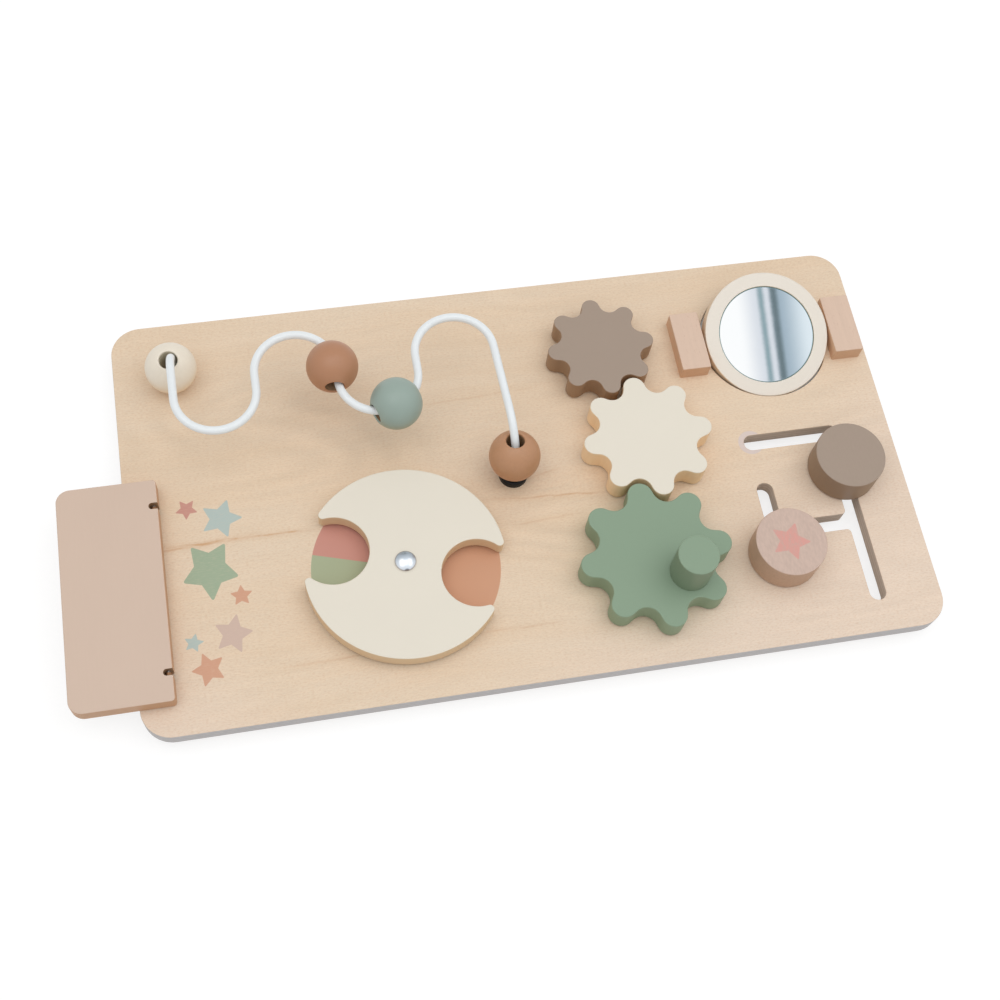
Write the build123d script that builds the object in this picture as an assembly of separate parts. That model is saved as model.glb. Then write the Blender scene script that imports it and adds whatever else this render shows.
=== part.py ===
from build123d import *
import math
import os
from collections import namedtuple

# A wooden busy board: a plywood panel on four rubber feet, carrying a hinged door, a bead wire, a
# spinner, a train of three gears, a tilting mirror and two knobs that slide in slots.
# Millimetres. The origin is on the table, under the middle of the whole box; X runs along the board,
# Y to the far side, Z up. Positions named below are measured from the middle of the board's top face,
# and insets from the board's nearest edge.

# Board
BOARD_LENGTH = 450.0
BOARD_WIDTH = 250.0
BOARD_THICKNESS = 10.0
BOARD_CORNER = 17.0
BOARD_EDGE = 0.5

# Feet, one near each corner
FOOT_RADIUS = 10.0
FOOT_HEIGHT = 8.0
FOOT_INSET = 15.0
FOOT_ROUND = 1.0
FOOT_RECESS_RADIUS = 4.6
FOOT_RECESS_DEPTH = 4.5

# Clearances
RUNNING = 0.1
SLACK = 0.3

# Fasteners
WOOD_SCREW_RADIUS = 1.75
WOOD_SCREW_HEAD_RADIUS = 3.5
WOOD_SCREW_HEAD = 2.4
WOOD_SCREW_BITE = 7.0
WASHER = 1.0

# Door, drawn open: it lies on the board's left edge and closes by turning over to the right
DOOR_WIDTH = 54.6
DOOR_LENGTH = 128.6
DOOR_THICKNESS = 10.0
DOOR_CENTRE_Y = -44.2
DOOR_CORNER = 7.5
DOOR_HINGE_CORNER = 2.0
DOOR_EDGE = 0.8
DOOR_GAP = 0.8
HINGE_INSET = 17.2
HINGE_SET_BACK = 2.6
HINGE_END_INSET = 16.0
HINGE_NOTCH_WIDTH = 3.8
HINGE_NOTCH_REACH = 2.4
HINGE_PIN_RADIUS = 1.0
HINGE_PIN_LENGTH = 26.0
HINGE_EYE_WALL = 0.9
HINGE_EYE_WIDTH = 1.6
HINGE_EYE_SHANK_RADIUS = 0.8
HINGE_EYE_BITE = 8.0

# Spinner
SPINNER_X = -75.2
SPINNER_Y = -49.1
SPINNER_RADIUS = 56.1
SPINNER_THICKNESS = 10.0
SPINNER_GAP = 2.0
SPINNER_EDGE = 0.8
BITE_RADIUS = 19.8
BITE_OFFSET = 40.0
BITE_TIP_RADIUS = 2.5
BITE_BEARINGS = (-17.5, 162.5)
SPINNER_BOLT_RADIUS = 3.0
SPINNER_CAP_RADIUS = 5.9
SPINNER_CAP_RIM = 0.6
SPINNER_CAP_DOME = 2.2
SPINNER_BUSH_WALL = 1.5
SPINNER_FLANGE_RADIUS = 9.0
SPINNER_NUT_FLATS = 10.0
SPINNER_NUT = 4.0

# Gears: one tooth shape, drawn to three sizes
TEETH = 8
GEAR_THICKNESS = 15.0
GEAR_GAP = 1.0
GEAR_EDGE = 0.7
LARGE_GEAR_X = 63.4
LARGE_GEAR_Y = -66.2
LARGE_GEAR_RADIUS = 43.7
MIDDLE_GEAR_RADIUS = 38.3
SMALL_GEAR_RADIUS = 32.1
MESH_CLEARANCE = 1.5
MIDDLE_GEAR_BEARING = 81.2
SMALL_GEAR_BEARING = 103.8
LARGE_GEAR_TURN = 2.7
MIDDLE_GEAR_PLAY = 0.5
SMALL_GEAR_PLAY = -0.6
# The tooth shape for a gear of outer radius 1: a round tip and a round gap joined by straight flanks
TIP_RATIO = 0.168
GAP_CENTRE_RATIO = 0.934
GAP_RATIO = 0.186
GEAR_SCREW_RADIUS = 3.0
GEAR_SCREW_HEAD_RADIUS = 5.0
GEAR_SCREW_HEAD = 2.8
GEAR_BUSH_WALL = 2.0
GEAR_FLANGE_RADIUS = 9.0
INSERT_WALL = 1.5
INSERT_LENGTH = 10.0
PEG_RADIUS = 11.5
PEG_HEIGHT = 25.0
PEG_ROUND = 1.0
PEG_REACH = 20.7
PEG_BEARING = -40.2
PEG_TENON_RADIUS = 4.0
PEG_TENON = 9.0

# Mirror: a round frame that tilts between two blocks, over a round hole in the board
MIRROR_RIGHT_INSET = 61.5
MIRROR_FAR_INSET = 56.5
MIRROR_RADIUS = 38.2
MIRROR_THICKNESS = 10.0
MIRROR_TILT = 18.5
MIRROR_EDGE = 0.8
MIRROR_HOLE_CLEARANCE = 0.8
GLASS_RADIUS = 29.6
GLASS_THICKNESS = 2.0
GLASS_RECESS = 0.8
GLASS_FIT = 0.1
BLOCK_LENGTH = 17.5
BLOCK_WIDTH = 38.6
BLOCK_HEIGHT = 10.0
BLOCK_GAP = 1.1
BLOCK_EDGE = 0.5
BLOCK_CORNER = 0.8
BLOCK_SCREW_SPACING = 24.0
PIVOT_RADIUS = 2.0
PIVOT_IN_BLOCK = 12.0
PIVOT_IN_RING = 6.0

# Slots for the knobs, by their centre lines
SLOT_WIDTH = 9.6
SLOT_CORNER = 2.5
RIGHT_RUN_INSET = 36.8
RUN_SPACING = 48.7
TOP_RUN_Y = 0.8
BRANCH_Y = -56.5
RIGHT_RUN_END_Y = -101.5
LEFT_RUN_TOP_Y = -30.7
LEFT_RUN_END_Y = -71.5

# Knobs and the sliders that carry them
KNOB_RADIUS = 20.4
KNOB_HEIGHT = 19.0
KNOB_GAP = 1.0
KNOB_ROUND = 0.8
TAUPE_KNOB_Y = -23.7
SLIDER_FLANGE_RADIUS = 9.0
SLIDER_SCREW_RADIUS = 2.5
SLIDER_SCREW_HEAD_RADIUS = 4.5
SLIDER_SCREW_HEAD = 2.6
SLIDER_SCREW_BITE = 12.0
RETAINER_RADIUS = 10.0
RETAINER = 1.5

# Bead wire: a flat wave of half circles and legs, on an upright at each end
WIRE_RADIUS = 2.35
WIRE_HEIGHT = 38.0
WAVE_LEFT_INSET = 36.0
WAVE_ARCS = 4
WAVE_ARC_RADIUS = 22.65
WAVE_NEAR_INSET = 70.8
WAVE_FAR_INSET = 61.5
LEFT_UPRIGHT_INSET = 36.9
LEFT_BEND_RADIUS = 18.0
RIGHT_UPRIGHT_Y = -0.2
RIGHT_BEND_RADIUS = 24.0
RIGHT_LEG_LEAN = 2.5
WIRE_TAIL = 6.0
WIRE_NUT_FLATS = 8.0
WIRE_NUT = 4.0
GROMMET_RADIUS = 8.3
GROMMET_HEIGHT = 4.5
GROMMET_ROUND = 1.5

# Beads
BEAD_RADIUS = 14.65
BEAD_BORE_RADIUS = 5.2
BEAD_BORE_EDGE = 0.8
BEAD_INSET = 1.9
BROWN_BEAD_BEARING = -1.5
GREEN_BEAD_BEARING = -68.5
TAN_BEAD_INSET = 2.3
CREAM_BEAD_OFFSET_X = -1.6
CREAM_BEAD_OFFSET_Y = -0.6
CREAM_BEAD_LEAN = 9.5

HINGE_X = HINGE_INSET - BOARD_LENGTH / 2
HINGE_Z = DOOR_GAP + DOOR_THICKNESS / 2
DOOR_RIGHT_X = HINGE_X + HINGE_SET_BACK
DOOR_LEFT_X = DOOR_RIGHT_X - DOOR_WIDTH
BOARD_X = (-BOARD_LENGTH / 2 - DOOR_LEFT_X) / 2
MIRROR_X = BOARD_LENGTH / 2 - MIRROR_RIGHT_INSET
MIRROR_Y = BOARD_WIDTH / 2 - MIRROR_FAR_INSET
RIGHT_RUN_X = BOARD_LENGTH / 2 - RIGHT_RUN_INSET
LEFT_RUN_X = RIGHT_RUN_X - RUN_SPACING
WAVE_LEFT_X = WAVE_LEFT_INSET - BOARD_LENGTH / 2
WAVE_NEAR_Y = BOARD_WIDTH / 2 - WAVE_NEAR_INSET
WAVE_FAR_Y = BOARD_WIDTH / 2 - WAVE_FAR_INSET
LEFT_UPRIGHT_Y = BOARD_WIDTH / 2 - LEFT_UPRIGHT_INSET
BOARD_TOP = FOOT_HEIGHT + BOARD_THICKNESS
PIVOT_Z = BLOCK_HEIGHT / 2
MIRROR_HOLE_RADIUS = MIRROR_RADIUS + MIRROR_HOLE_CLEARANCE
GLASS_BED = MIRROR_THICKNESS / 2 - GLASS_RECESS - GLASS_THICKNESS

Gear = namedtuple("Gear", "name radius x y turn")
Bead = namedtuple("Bead", "name place")


def root_radius(outer):
    return outer * (GAP_CENTRE_RATIO - GAP_RATIO)


def meshed_gear(name, radius, driver, bearing, play):
    """A gear that meshes with its driver, seen from it at this bearing, a tooth facing a gap."""
    distance = driver.radius + root_radius(radius) + MESH_CLEARANCE
    direction = math.radians(bearing)
    turn = 2 * bearing + 180 + 180 / TEETH - driver.turn + play
    x = driver.x + distance * math.cos(direction)
    y = driver.y + distance * math.sin(direction)
    return Gear(name, radius, x, y, turn)


LARGE = Gear("gear_large", LARGE_GEAR_RADIUS, LARGE_GEAR_X, LARGE_GEAR_Y, LARGE_GEAR_TURN)
MIDDLE = meshed_gear("gear_middle", MIDDLE_GEAR_RADIUS, LARGE, MIDDLE_GEAR_BEARING, MIDDLE_GEAR_PLAY)
SMALL = meshed_gear("gear_small", SMALL_GEAR_RADIUS, MIDDLE, SMALL_GEAR_BEARING, SMALL_GEAR_PLAY)
GEARS = (LARGE, MIDDLE, SMALL)


def on_board(x, y, z=0.0):
    """The place at x, y and a height z over the middle of the board's top face."""
    return Pos(BOARD_X + x, y, BOARD_TOP + z)


def rod(radius, low, high):
    """An upright cylinder between two heights."""
    return Pos(0, 0, low) * extrude(Circle(radius), high - low)


def tube(outer, inner, low, high):
    return rod(outer, low, high) - rod(inner, low, high)


def save(name, *solids):
    shape = solids[0] if len(solids) == 1 else Compound(children=list(solids))
    export_step(shape, f"parts/{name}.step")


def face_edges(solid):
    """The edges round the top and bottom faces."""
    faces = solid.faces().sort_by(Axis.Z)
    return faces[0].edges() + faces[-1].edges()


def pan_screw(radius, head_radius, head, tip):
    """A pan-head screw, head down, with the underside of its head at height 0."""
    cap = fillet(rod(head_radius, -head, 0).edges().group_by(Axis.Z)[0], head / 3)
    return cap + rod(radius, 0, tip)


def hex_nut(flats, height, bore):
    """A hexagon nut that hangs from height 0."""
    body = extrude(RegularPolygon(flats / 2, 6, major_radius=False), -height)
    return body - rod(bore, -height, 0)


def corners(inset_x, inset_y):
    half_x = BOARD_LENGTH / 2 - inset_x
    half_y = BOARD_WIDTH / 2 - inset_y
    return [(sx * half_x, sy * half_y) for sx in (-1, 1) for sy in (-1, 1)]


# Slots and board

def slot_run(start, end):
    """One straight run of a slot between two centres."""
    (x0, y0), (x1, y1) = start, end
    length = math.hypot(x1 - x0, y1 - y0)
    middle = Pos((x0 + x1) / 2, (y0 + y1) / 2)
    turn = Rot(0, 0, math.degrees(math.atan2(y1 - y0, x1 - x0)))
    return middle * turn * SlotCenterToCenter(length, SLOT_WIDTH)


def slots():
    right_top = (RIGHT_RUN_X, TOP_RUN_Y)
    outline = slot_run((LEFT_RUN_X, TOP_RUN_Y), right_top)
    outline += slot_run((RIGHT_RUN_X, RIGHT_RUN_END_Y), right_top)
    outline += slot_run((LEFT_RUN_X, BRANCH_Y), (RIGHT_RUN_X, BRANCH_Y))
    outline += slot_run((LEFT_RUN_X, LEFT_RUN_END_Y), (LEFT_RUN_X, LEFT_RUN_TOP_Y))
    half = SLOT_WIDTH / 2
    inner = [(RIGHT_RUN_X - half, TOP_RUN_Y - half)]
    inner += [(RIGHT_RUN_X - half, BRANCH_Y + side) for side in (-half, half)]
    inner += [(LEFT_RUN_X + half, BRANCH_Y + side) for side in (-half, half)]
    vertices = outline.vertices()
    picked = [vertices.sort_by_distance((x, y, 0))[0] for x, y in inner]
    return fillet(picked, SLOT_CORNER)


def block_places():
    """The middle of each mirror block, left then right."""
    reach = MIRROR_RADIUS + BLOCK_GAP + BLOCK_LENGTH / 2
    return [(MIRROR_X - reach, MIRROR_Y), (MIRROR_X + reach, MIRROR_Y)]


def block_screw_places():
    half = BLOCK_SCREW_SPACING / 2
    return [(x, y + side) for x, y in block_places() for side in (-half, half)]


def hinge_ys():
    half = DOOR_LENGTH / 2 - HINGE_END_INSET
    return (DOOR_CENTRE_Y - half, DOOR_CENTRE_Y + half)


def upright_places():
    """Where the wire meets the board, left then right, where the last leg leans out."""
    lean = math.radians(RIGHT_LEG_LEAN)
    leg = WAVE_FAR_Y + WAVE_ARC_RADIUS * math.sin(lean) - RIGHT_UPRIGHT_Y
    last_arc_x = WAVE_LEFT_X + (2 * WAVE_ARCS - 1) * WAVE_ARC_RADIUS
    right_x = last_arc_x + WAVE_ARC_RADIUS * math.cos(lean) + leg * math.tan(lean)
    return [(WAVE_LEFT_X, LEFT_UPRIGHT_Y), (right_x, RIGHT_UPRIGHT_Y)]


def board():
    slab = extrude(RectangleRounded(BOARD_LENGTH, BOARD_WIDTH, BOARD_CORNER), -BOARD_THICKNESS)
    openings = Pos(MIRROR_X, MIRROR_Y) * Circle(MIRROR_HOLE_RADIUS) + slots()
    slab -= extrude(openings, -BOARD_THICKNESS)
    slab = fillet(face_edges(slab), BOARD_EDGE)
    holes = [(g.x, g.y, GEAR_SCREW_RADIUS + RUNNING + GEAR_BUSH_WALL) for g in GEARS]
    holes += [(SPINNER_X, SPINNER_Y, SPINNER_BOLT_RADIUS + RUNNING)]
    holes += [(x, y, WIRE_RADIUS + RUNNING) for x, y in upright_places()]
    holes += [(x, y, WOOD_SCREW_RADIUS + RUNNING) for x, y in block_screw_places()]
    for x, y, radius in holes:
        slab -= Pos(x, y) * rod(radius, -BOARD_THICKNESS, 0)
    for y in hinge_ys():
        slab -= Pos(HINGE_X, y) * rod(HINGE_EYE_SHANK_RADIUS, -HINGE_EYE_BITE, 0)
    for x, y in corners(FOOT_INSET, FOOT_INSET):
        slab -= Pos(x, y, -BOARD_THICKNESS) * rod(WOOD_SCREW_RADIUS, 0, WOOD_SCREW_BITE)
    save("board", on_board(0, 0) * slab)


def feet():
    pad = rod(FOOT_RADIUS, -FOOT_HEIGHT, 0)
    pad = fillet(pad.edges().group_by(Axis.Z)[0], FOOT_ROUND)
    pad -= rod(WOOD_SCREW_RADIUS + RUNNING, -FOOT_HEIGHT, 0)
    pad -= rod(FOOT_RECESS_RADIUS, -FOOT_HEIGHT, FOOT_RECESS_DEPTH - FOOT_HEIGHT)
    seat = FOOT_RECESS_DEPTH - FOOT_HEIGHT
    screw = pan_screw(WOOD_SCREW_RADIUS, WOOD_SCREW_HEAD_RADIUS, WOOD_SCREW_HEAD, WOOD_SCREW_BITE - seat)
    places = [on_board(x, y, -BOARD_THICKNESS) for x, y in corners(FOOT_INSET, FOOT_INSET)]
    save("rubber_feet", *[place * pad for place in places])
    save("foot_screws", *[place * Pos(0, 0, seat) * screw for place in places])


# Door

def door():
    panel = Box(DOOR_WIDTH, DOOR_LENGTH, DOOR_THICKNESS)
    panel = fillet(panel.edges().filter_by(Axis.Z).group_by(Axis.X)[0], DOOR_CORNER)
    panel = fillet(panel.edges().filter_by(Axis.Z).group_by(Axis.X)[-1], DOOR_HINGE_CORNER)
    panel = fillet(face_edges(panel), DOOR_EDGE)
    panel = Pos(DOOR_LEFT_X + DOOR_WIDTH / 2, DOOR_CENTRE_Y, HINGE_Z) * panel
    eye_radius = HINGE_PIN_RADIUS + RUNNING + HINGE_EYE_WALL
    notch_end = HINGE_NOTCH_WIDTH / 2
    notch_end_x = HINGE_X - HINGE_NOTCH_REACH + notch_end
    notch_length = DOOR_RIGHT_X - notch_end_x
    pins, eyes = [], []
    for y in hinge_ys():
        notch = Box(notch_length, HINGE_NOTCH_WIDTH, DOOR_THICKNESS)
        notch = Pos(notch_end_x + notch_length / 2, y, HINGE_Z) * notch
        notch += Pos(notch_end_x, y) * rod(notch_end, DOOR_GAP, DOOR_GAP + DOOR_THICKNESS)
        pin = Pos(HINGE_X, y, HINGE_Z) * Rot(90, 0, 0) * Cylinder(HINGE_PIN_RADIUS, HINGE_PIN_LENGTH)
        panel = panel - notch - pin
        pins.append(on_board(0, 0) * pin)
        ring = Cylinder(eye_radius, HINGE_EYE_WIDTH)
        hole = Cylinder(HINGE_PIN_RADIUS + RUNNING, HINGE_EYE_WIDTH)
        ring_bottom = HINGE_Z - HINGE_PIN_RADIUS - RUNNING - HINGE_EYE_WALL / 2
        eye = Pos(HINGE_X, y, HINGE_Z) * Rot(90, 0, 0) * (ring - hole)
        eye += Pos(HINGE_X, y) * rod(HINGE_EYE_SHANK_RADIUS, -HINGE_EYE_BITE, ring_bottom)
        eyes.append(on_board(0, 0) * eye)
    save("door_panel", on_board(0, 0) * panel)
    save("door_hinge_pins", *pins)
    save("door_hinge_eyes", *eyes)


# Spinner

def spinner():
    bush_radius = SPINNER_BOLT_RADIUS + SPINNER_BUSH_WALL
    outline = Circle(SPINNER_RADIUS)
    for bearing in BITE_BEARINGS:
        outline -= Rot(0, 0, bearing) * Pos(BITE_OFFSET, 0) * Circle(BITE_RADIUS)
    outline = fillet(outline.vertices(), BITE_TIP_RADIUS)
    disc = fillet(face_edges(extrude(outline, SPINNER_THICKNESS)), SPINNER_EDGE)
    disc -= rod(bush_radius + RUNNING, 0, SPINNER_THICKNESS)
    top = SPINNER_GAP + SPINNER_THICKNESS
    seat = top + RUNNING
    flange_top = SPINNER_GAP - RUNNING
    bush = tube(SPINNER_FLANGE_RADIUS, SPINNER_BOLT_RADIUS, 0, flange_top)
    bush += tube(bush_radius, SPINNER_BOLT_RADIUS, flange_top, seat)
    rim = rod(SPINNER_CAP_RADIUS, seat, seat + SPINNER_CAP_RIM)
    dome_radius = (SPINNER_CAP_RADIUS ** 2 + SPINNER_CAP_DOME ** 2) / (2 * SPINNER_CAP_DOME)
    dome_top = seat + SPINNER_CAP_RIM + SPINNER_CAP_DOME
    dome = Pos(0, 0, dome_top - dome_radius) * Sphere(dome_radius)
    dome &= rod(SPINNER_CAP_RADIUS, seat + SPINNER_CAP_RIM, dome_top)
    below = -BOARD_THICKNESS - WASHER
    bolt = rim + dome + rod(SPINNER_BOLT_RADIUS, below - SPINNER_NUT, seat)
    place = on_board(SPINNER_X, SPINNER_Y)
    save("spinner_disc", place * Pos(0, 0, SPINNER_GAP) * disc)
    save("spinner_bush", place * bush)
    save("spinner_bolt", place * bolt)
    save("spinner_washer", place * tube(bush_radius * 2, SPINNER_BOLT_RADIUS, below, -BOARD_THICKNESS))
    nut = hex_nut(SPINNER_NUT_FLATS, SPINNER_NUT, SPINNER_BOLT_RADIUS)
    save("spinner_nut", place * Pos(0, 0, below) * nut)


# Gears

def polar(radius, angle):
    return Vector(radius * math.cos(angle), radius * math.sin(angle))


def gear_outline(outer):
    """Round tips and round gaps, joined by the straight lines that touch both."""
    half_pitch = math.pi / TEETH
    tip_round = TIP_RATIO * outer
    gap_round = GAP_RATIO * outer
    tip = Vector(outer - tip_round, 0)
    gap = polar(GAP_CENTRE_RATIO * outer, half_pitch)
    across = gap - tip
    bearing = math.atan2(across.Y, across.X)
    facing = bearing - math.acos((tip_round + gap_round) / across.length)
    flank_top = tip + polar(tip_round, facing)
    flank_bottom = gap - polar(gap_round, facing)
    to_next = 2 * half_pitch
    mirrored_bottom = polar(flank_bottom.length, to_next - math.atan2(flank_bottom.Y, flank_bottom.X))
    mirrored_top = Vector(flank_top.X, -flank_top.Y)
    next_top = polar(flank_top.length, to_next - math.atan2(flank_top.Y, flank_top.X))
    tooth = [
        ThreePointArc(mirrored_top, Vector(outer, 0), flank_top),
        Line(flank_top, flank_bottom),
        ThreePointArc(flank_bottom, polar(root_radius(outer), half_pitch), mirrored_bottom),
        Line(mirrored_bottom, next_top),
    ]
    return make_face([Rot(0, 0, 360 / TEETH * k) * edge for k in range(TEETH) for edge in tooth])


def gears():
    insert_radius = GEAR_SCREW_RADIUS + INSERT_WALL
    bore = GEAR_SCREW_RADIUS + RUNNING
    bush_low = -BOARD_THICKNESS
    bush = tube(bore + GEAR_BUSH_WALL, bore, bush_low, 0)
    bush += tube(GEAR_FLANGE_RADIUS, bore, 0, GEAR_GAP - RUNNING)
    washer_top = bush_low - RUNNING
    washer_low = washer_top - WASHER
    insert_top = GEAR_GAP + INSERT_LENGTH
    insert = tube(insert_radius, GEAR_SCREW_RADIUS, GEAR_GAP, insert_top)
    washer = tube(GEAR_SCREW_HEAD_RADIUS + WASHER, GEAR_SCREW_RADIUS, washer_low, washer_top)
    screw = pan_screw(GEAR_SCREW_RADIUS, GEAR_SCREW_HEAD_RADIUS, GEAR_SCREW_HEAD, insert_top - washer_low)
    bearing = math.radians(PEG_BEARING)
    peg_x = PEG_REACH * math.cos(bearing)
    peg_place = Pos(peg_x, PEG_REACH * math.sin(bearing), GEAR_GAP + GEAR_THICKNESS)
    tenon = rod(PEG_TENON_RADIUS, -PEG_TENON, 0)
    for gear in GEARS:
        place = on_board(gear.x, gear.y)
        outline = Rot(0, 0, gear.turn) * gear_outline(gear.radius)
        wheel = fillet(face_edges(extrude(outline, GEAR_THICKNESS)), GEAR_EDGE)
        wheel = Pos(0, 0, GEAR_GAP) * wheel - rod(insert_radius, GEAR_GAP, insert_top)
        if gear is LARGE:
            wheel -= peg_place * tenon
        save(gear.name, place * wheel)
        save(gear.name + "_insert", place * insert)
        save(gear.name + "_washer", place * washer)
        save(gear.name + "_screw", place * Pos(0, 0, washer_low) * screw)
    save("gear_bushes", *[on_board(gear.x, gear.y) * bush for gear in GEARS])
    peg = rod(PEG_RADIUS, 0, PEG_HEIGHT)
    peg = fillet(peg.edges().group_by(Axis.Z)[-1], PEG_ROUND) + tenon
    save("gear_large_peg", on_board(LARGE.x, LARGE.y) * peg_place * peg)


# Mirror

def mirror():
    half = MIRROR_THICKNESS / 2
    ring = rod(MIRROR_RADIUS, -half, half)
    ring = fillet(ring.edges().filter_by(GeomType.CIRCLE), MIRROR_EDGE)
    ring -= rod(GLASS_RADIUS + GLASS_FIT, GLASS_BED, half)
    inner_edge = ring.edges().filter_by(GeomType.CIRCLE).group_by(Axis.Z)[-1].sort_by(SortBy.RADIUS)[0]
    ring = fillet(inner_edge, MIRROR_EDGE / 2)
    hole = Rot(0, 90, 0) * Cylinder(PIVOT_RADIUS + RUNNING, PIVOT_IN_RING + SLACK)
    glass = rod(GLASS_RADIUS, GLASS_BED, GLASS_BED + GLASS_THICKNESS)
    pin_length = PIVOT_IN_BLOCK + BLOCK_GAP + PIVOT_IN_RING
    pin_reach = MIRROR_RADIUS - PIVOT_IN_RING + pin_length / 2
    pins = []
    for side in (-1, 1):
        ring -= Pos(side * (MIRROR_RADIUS - (PIVOT_IN_RING + SLACK) / 2)) * hole
        pin = Rot(0, 90, 0) * Cylinder(PIVOT_RADIUS, pin_length)
        pins.append(on_board(MIRROR_X + side * pin_reach, MIRROR_Y, PIVOT_Z) * pin)
    tilted = on_board(MIRROR_X, MIRROR_Y, PIVOT_Z) * Rot(MIRROR_TILT, 0, 0)
    save("mirror_ring", tilted * ring)
    save("mirror_glass", tilted * glass)
    save("mirror_pivot_pins", *pins)
    for name, side, (x, y) in zip(("left", "right"), (1, -1), block_places()):
        block = extrude(Rectangle(BLOCK_LENGTH, BLOCK_WIDTH), BLOCK_HEIGHT)
        block = fillet(block.edges().filter_by(Axis.Z), BLOCK_CORNER)
        block = fillet(block.faces().sort_by(Axis.Z)[-1].edges(), BLOCK_EDGE)
        bore = Rot(0, 90, 0) * Cylinder(PIVOT_RADIUS, PIVOT_IN_BLOCK)
        block -= Pos(side * (BLOCK_LENGTH - PIVOT_IN_BLOCK) / 2, 0, PIVOT_Z) * bore
        for along in (-BLOCK_SCREW_SPACING / 2, BLOCK_SCREW_SPACING / 2):
            block -= Pos(0, along) * rod(WOOD_SCREW_RADIUS, 0, WOOD_SCREW_BITE)
        save("mirror_block_" + name, on_board(x, y) * block)
    screw_length = BOARD_THICKNESS + WOOD_SCREW_BITE
    screw = pan_screw(WOOD_SCREW_RADIUS, WOOD_SCREW_HEAD_RADIUS, WOOD_SCREW_HEAD, screw_length)
    places = [on_board(x, y, -BOARD_THICKNESS) for x, y in block_screw_places()]
    save("mirror_block_screws", *[place * screw for place in places])


# Knobs and sliders

def knob(name, x, y):
    """A knob that spins on its screw, and the slider that carries both along the slot."""
    stem_radius = SLOT_WIDTH / 2 - SLACK
    bore = SLIDER_SCREW_RADIUS + RUNNING
    flange_low = RUNNING
    flange_top = KNOB_GAP - RUNNING
    stem_low = -BOARD_THICKNESS - RUNNING
    retainer_low = stem_low - RETAINER
    screw_seat = retainer_low - RUNNING
    bush = tube(SLIDER_FLANGE_RADIUS, bore, flange_low, flange_top)
    bush += tube(stem_radius, bore, stem_low, flange_low)
    top = rod(KNOB_RADIUS, 0, KNOB_HEIGHT)
    rims = top.edges().group_by(Axis.Z)
    top = fillet(rims[-1], KNOB_ROUND)
    top = fillet(top.edges().group_by(Axis.Z)[0], KNOB_ROUND / 2)
    top = Pos(0, 0, KNOB_GAP) * top - rod(SLIDER_SCREW_RADIUS, KNOB_GAP, KNOB_GAP + SLIDER_SCREW_BITE)
    screw_length = KNOB_GAP + SLIDER_SCREW_BITE - screw_seat
    screw = pan_screw(SLIDER_SCREW_RADIUS, SLIDER_SCREW_HEAD_RADIUS, SLIDER_SCREW_HEAD, screw_length)
    place = on_board(x, y)
    save(name + "_knob", place * top)
    save(name + "_knob_screw", place * Pos(0, 0, screw_seat) * screw)
    save(name + "_slider_bush", place * bush)
    save(name + "_slider_retainer", place * tube(RETAINER_RADIUS, bore, retainer_low, stem_low))


# Bead wire and beads

def bend(upright, radius, turn):
    """A quarter bend from the top of an upright into the wave's height, towards the far side."""
    x, y = upright
    place = Pos(x, y, WIRE_HEIGHT - radius) * Rot(0, 0, turn)
    slope = math.sqrt(0.5)
    along = [(0, 0), (radius * (1 - slope), radius * slope), (radius, radius)]
    return [(place * Pos(0, distance, height)).position for distance, height in along]


def wire_path():
    """From the left upright's tail, over the wave, to the right upright's tail."""
    low = -BOARD_THICKNESS - WASHER - WIRE_TAIL
    left, right = upright_places()
    left_bend = bend(left, LEFT_BEND_RADIUS, 180)
    right_bend = bend(right, RIGHT_BEND_RADIUS, RIGHT_LEG_LEAN)
    lean = math.radians(RIGHT_LEG_LEAN)
    edges = [Line(Vector(*left, low), left_bend[0]), ThreePointArc(*left_bend)]
    here = left_bend[2]
    for arc in range(WAVE_ARCS):
        near = arc % 2 == 0
        y = WAVE_NEAR_Y if near else WAVE_FAR_Y
        reach = -WAVE_ARC_RADIUS if near else WAVE_ARC_RADIUS
        start = Vector(here.X, y, WIRE_HEIGHT)
        crown = Vector(here.X + WAVE_ARC_RADIUS, y + reach, WIRE_HEIGHT)
        end = Vector(here.X + 2 * WAVE_ARC_RADIUS, y, WIRE_HEIGHT)
        if arc == WAVE_ARCS - 1:
            end = Vector(crown.X, y, WIRE_HEIGHT) + polar(WAVE_ARC_RADIUS, lean)
        edges += [Line(here, start), ThreePointArc(start, crown, end)]
        here = end
    right_bend.reverse()
    edges += [Line(here, right_bend[0]), ThreePointArc(*right_bend)]
    edges.append(Line(right_bend[2], Vector(*right, low)))
    return Wire([edge.edge() for edge in edges])


def bead_wire():
    path = wire_path()
    section = Plane(origin=path @ 0, z_dir=path % 0) * Circle(WIRE_RADIUS)
    save("bead_wire", on_board(0, 0) * sweep(section, path=path))
    grommet = rod(GROMMET_RADIUS, 0, GROMMET_HEIGHT)
    grommet = fillet(grommet.edges().group_by(Axis.Z)[-1], GROMMET_ROUND)
    grommet -= rod(WIRE_RADIUS + RUNNING, 0, GROMMET_HEIGHT)
    below = -BOARD_THICKNESS - WASHER
    washer = tube(WIRE_NUT_FLATS / 2 + WASHER, WIRE_RADIUS + RUNNING, below, -BOARD_THICKNESS)
    nut = Pos(0, 0, below) * hex_nut(WIRE_NUT_FLATS, WIRE_NUT, WIRE_RADIUS)
    places = [on_board(x, y) for x, y in upright_places()]
    save("wire_grommet", places[-1] * grommet)
    save("wire_washers", *[place * washer for place in places])
    save("wire_nuts", *[place * nut for place in places])


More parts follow.
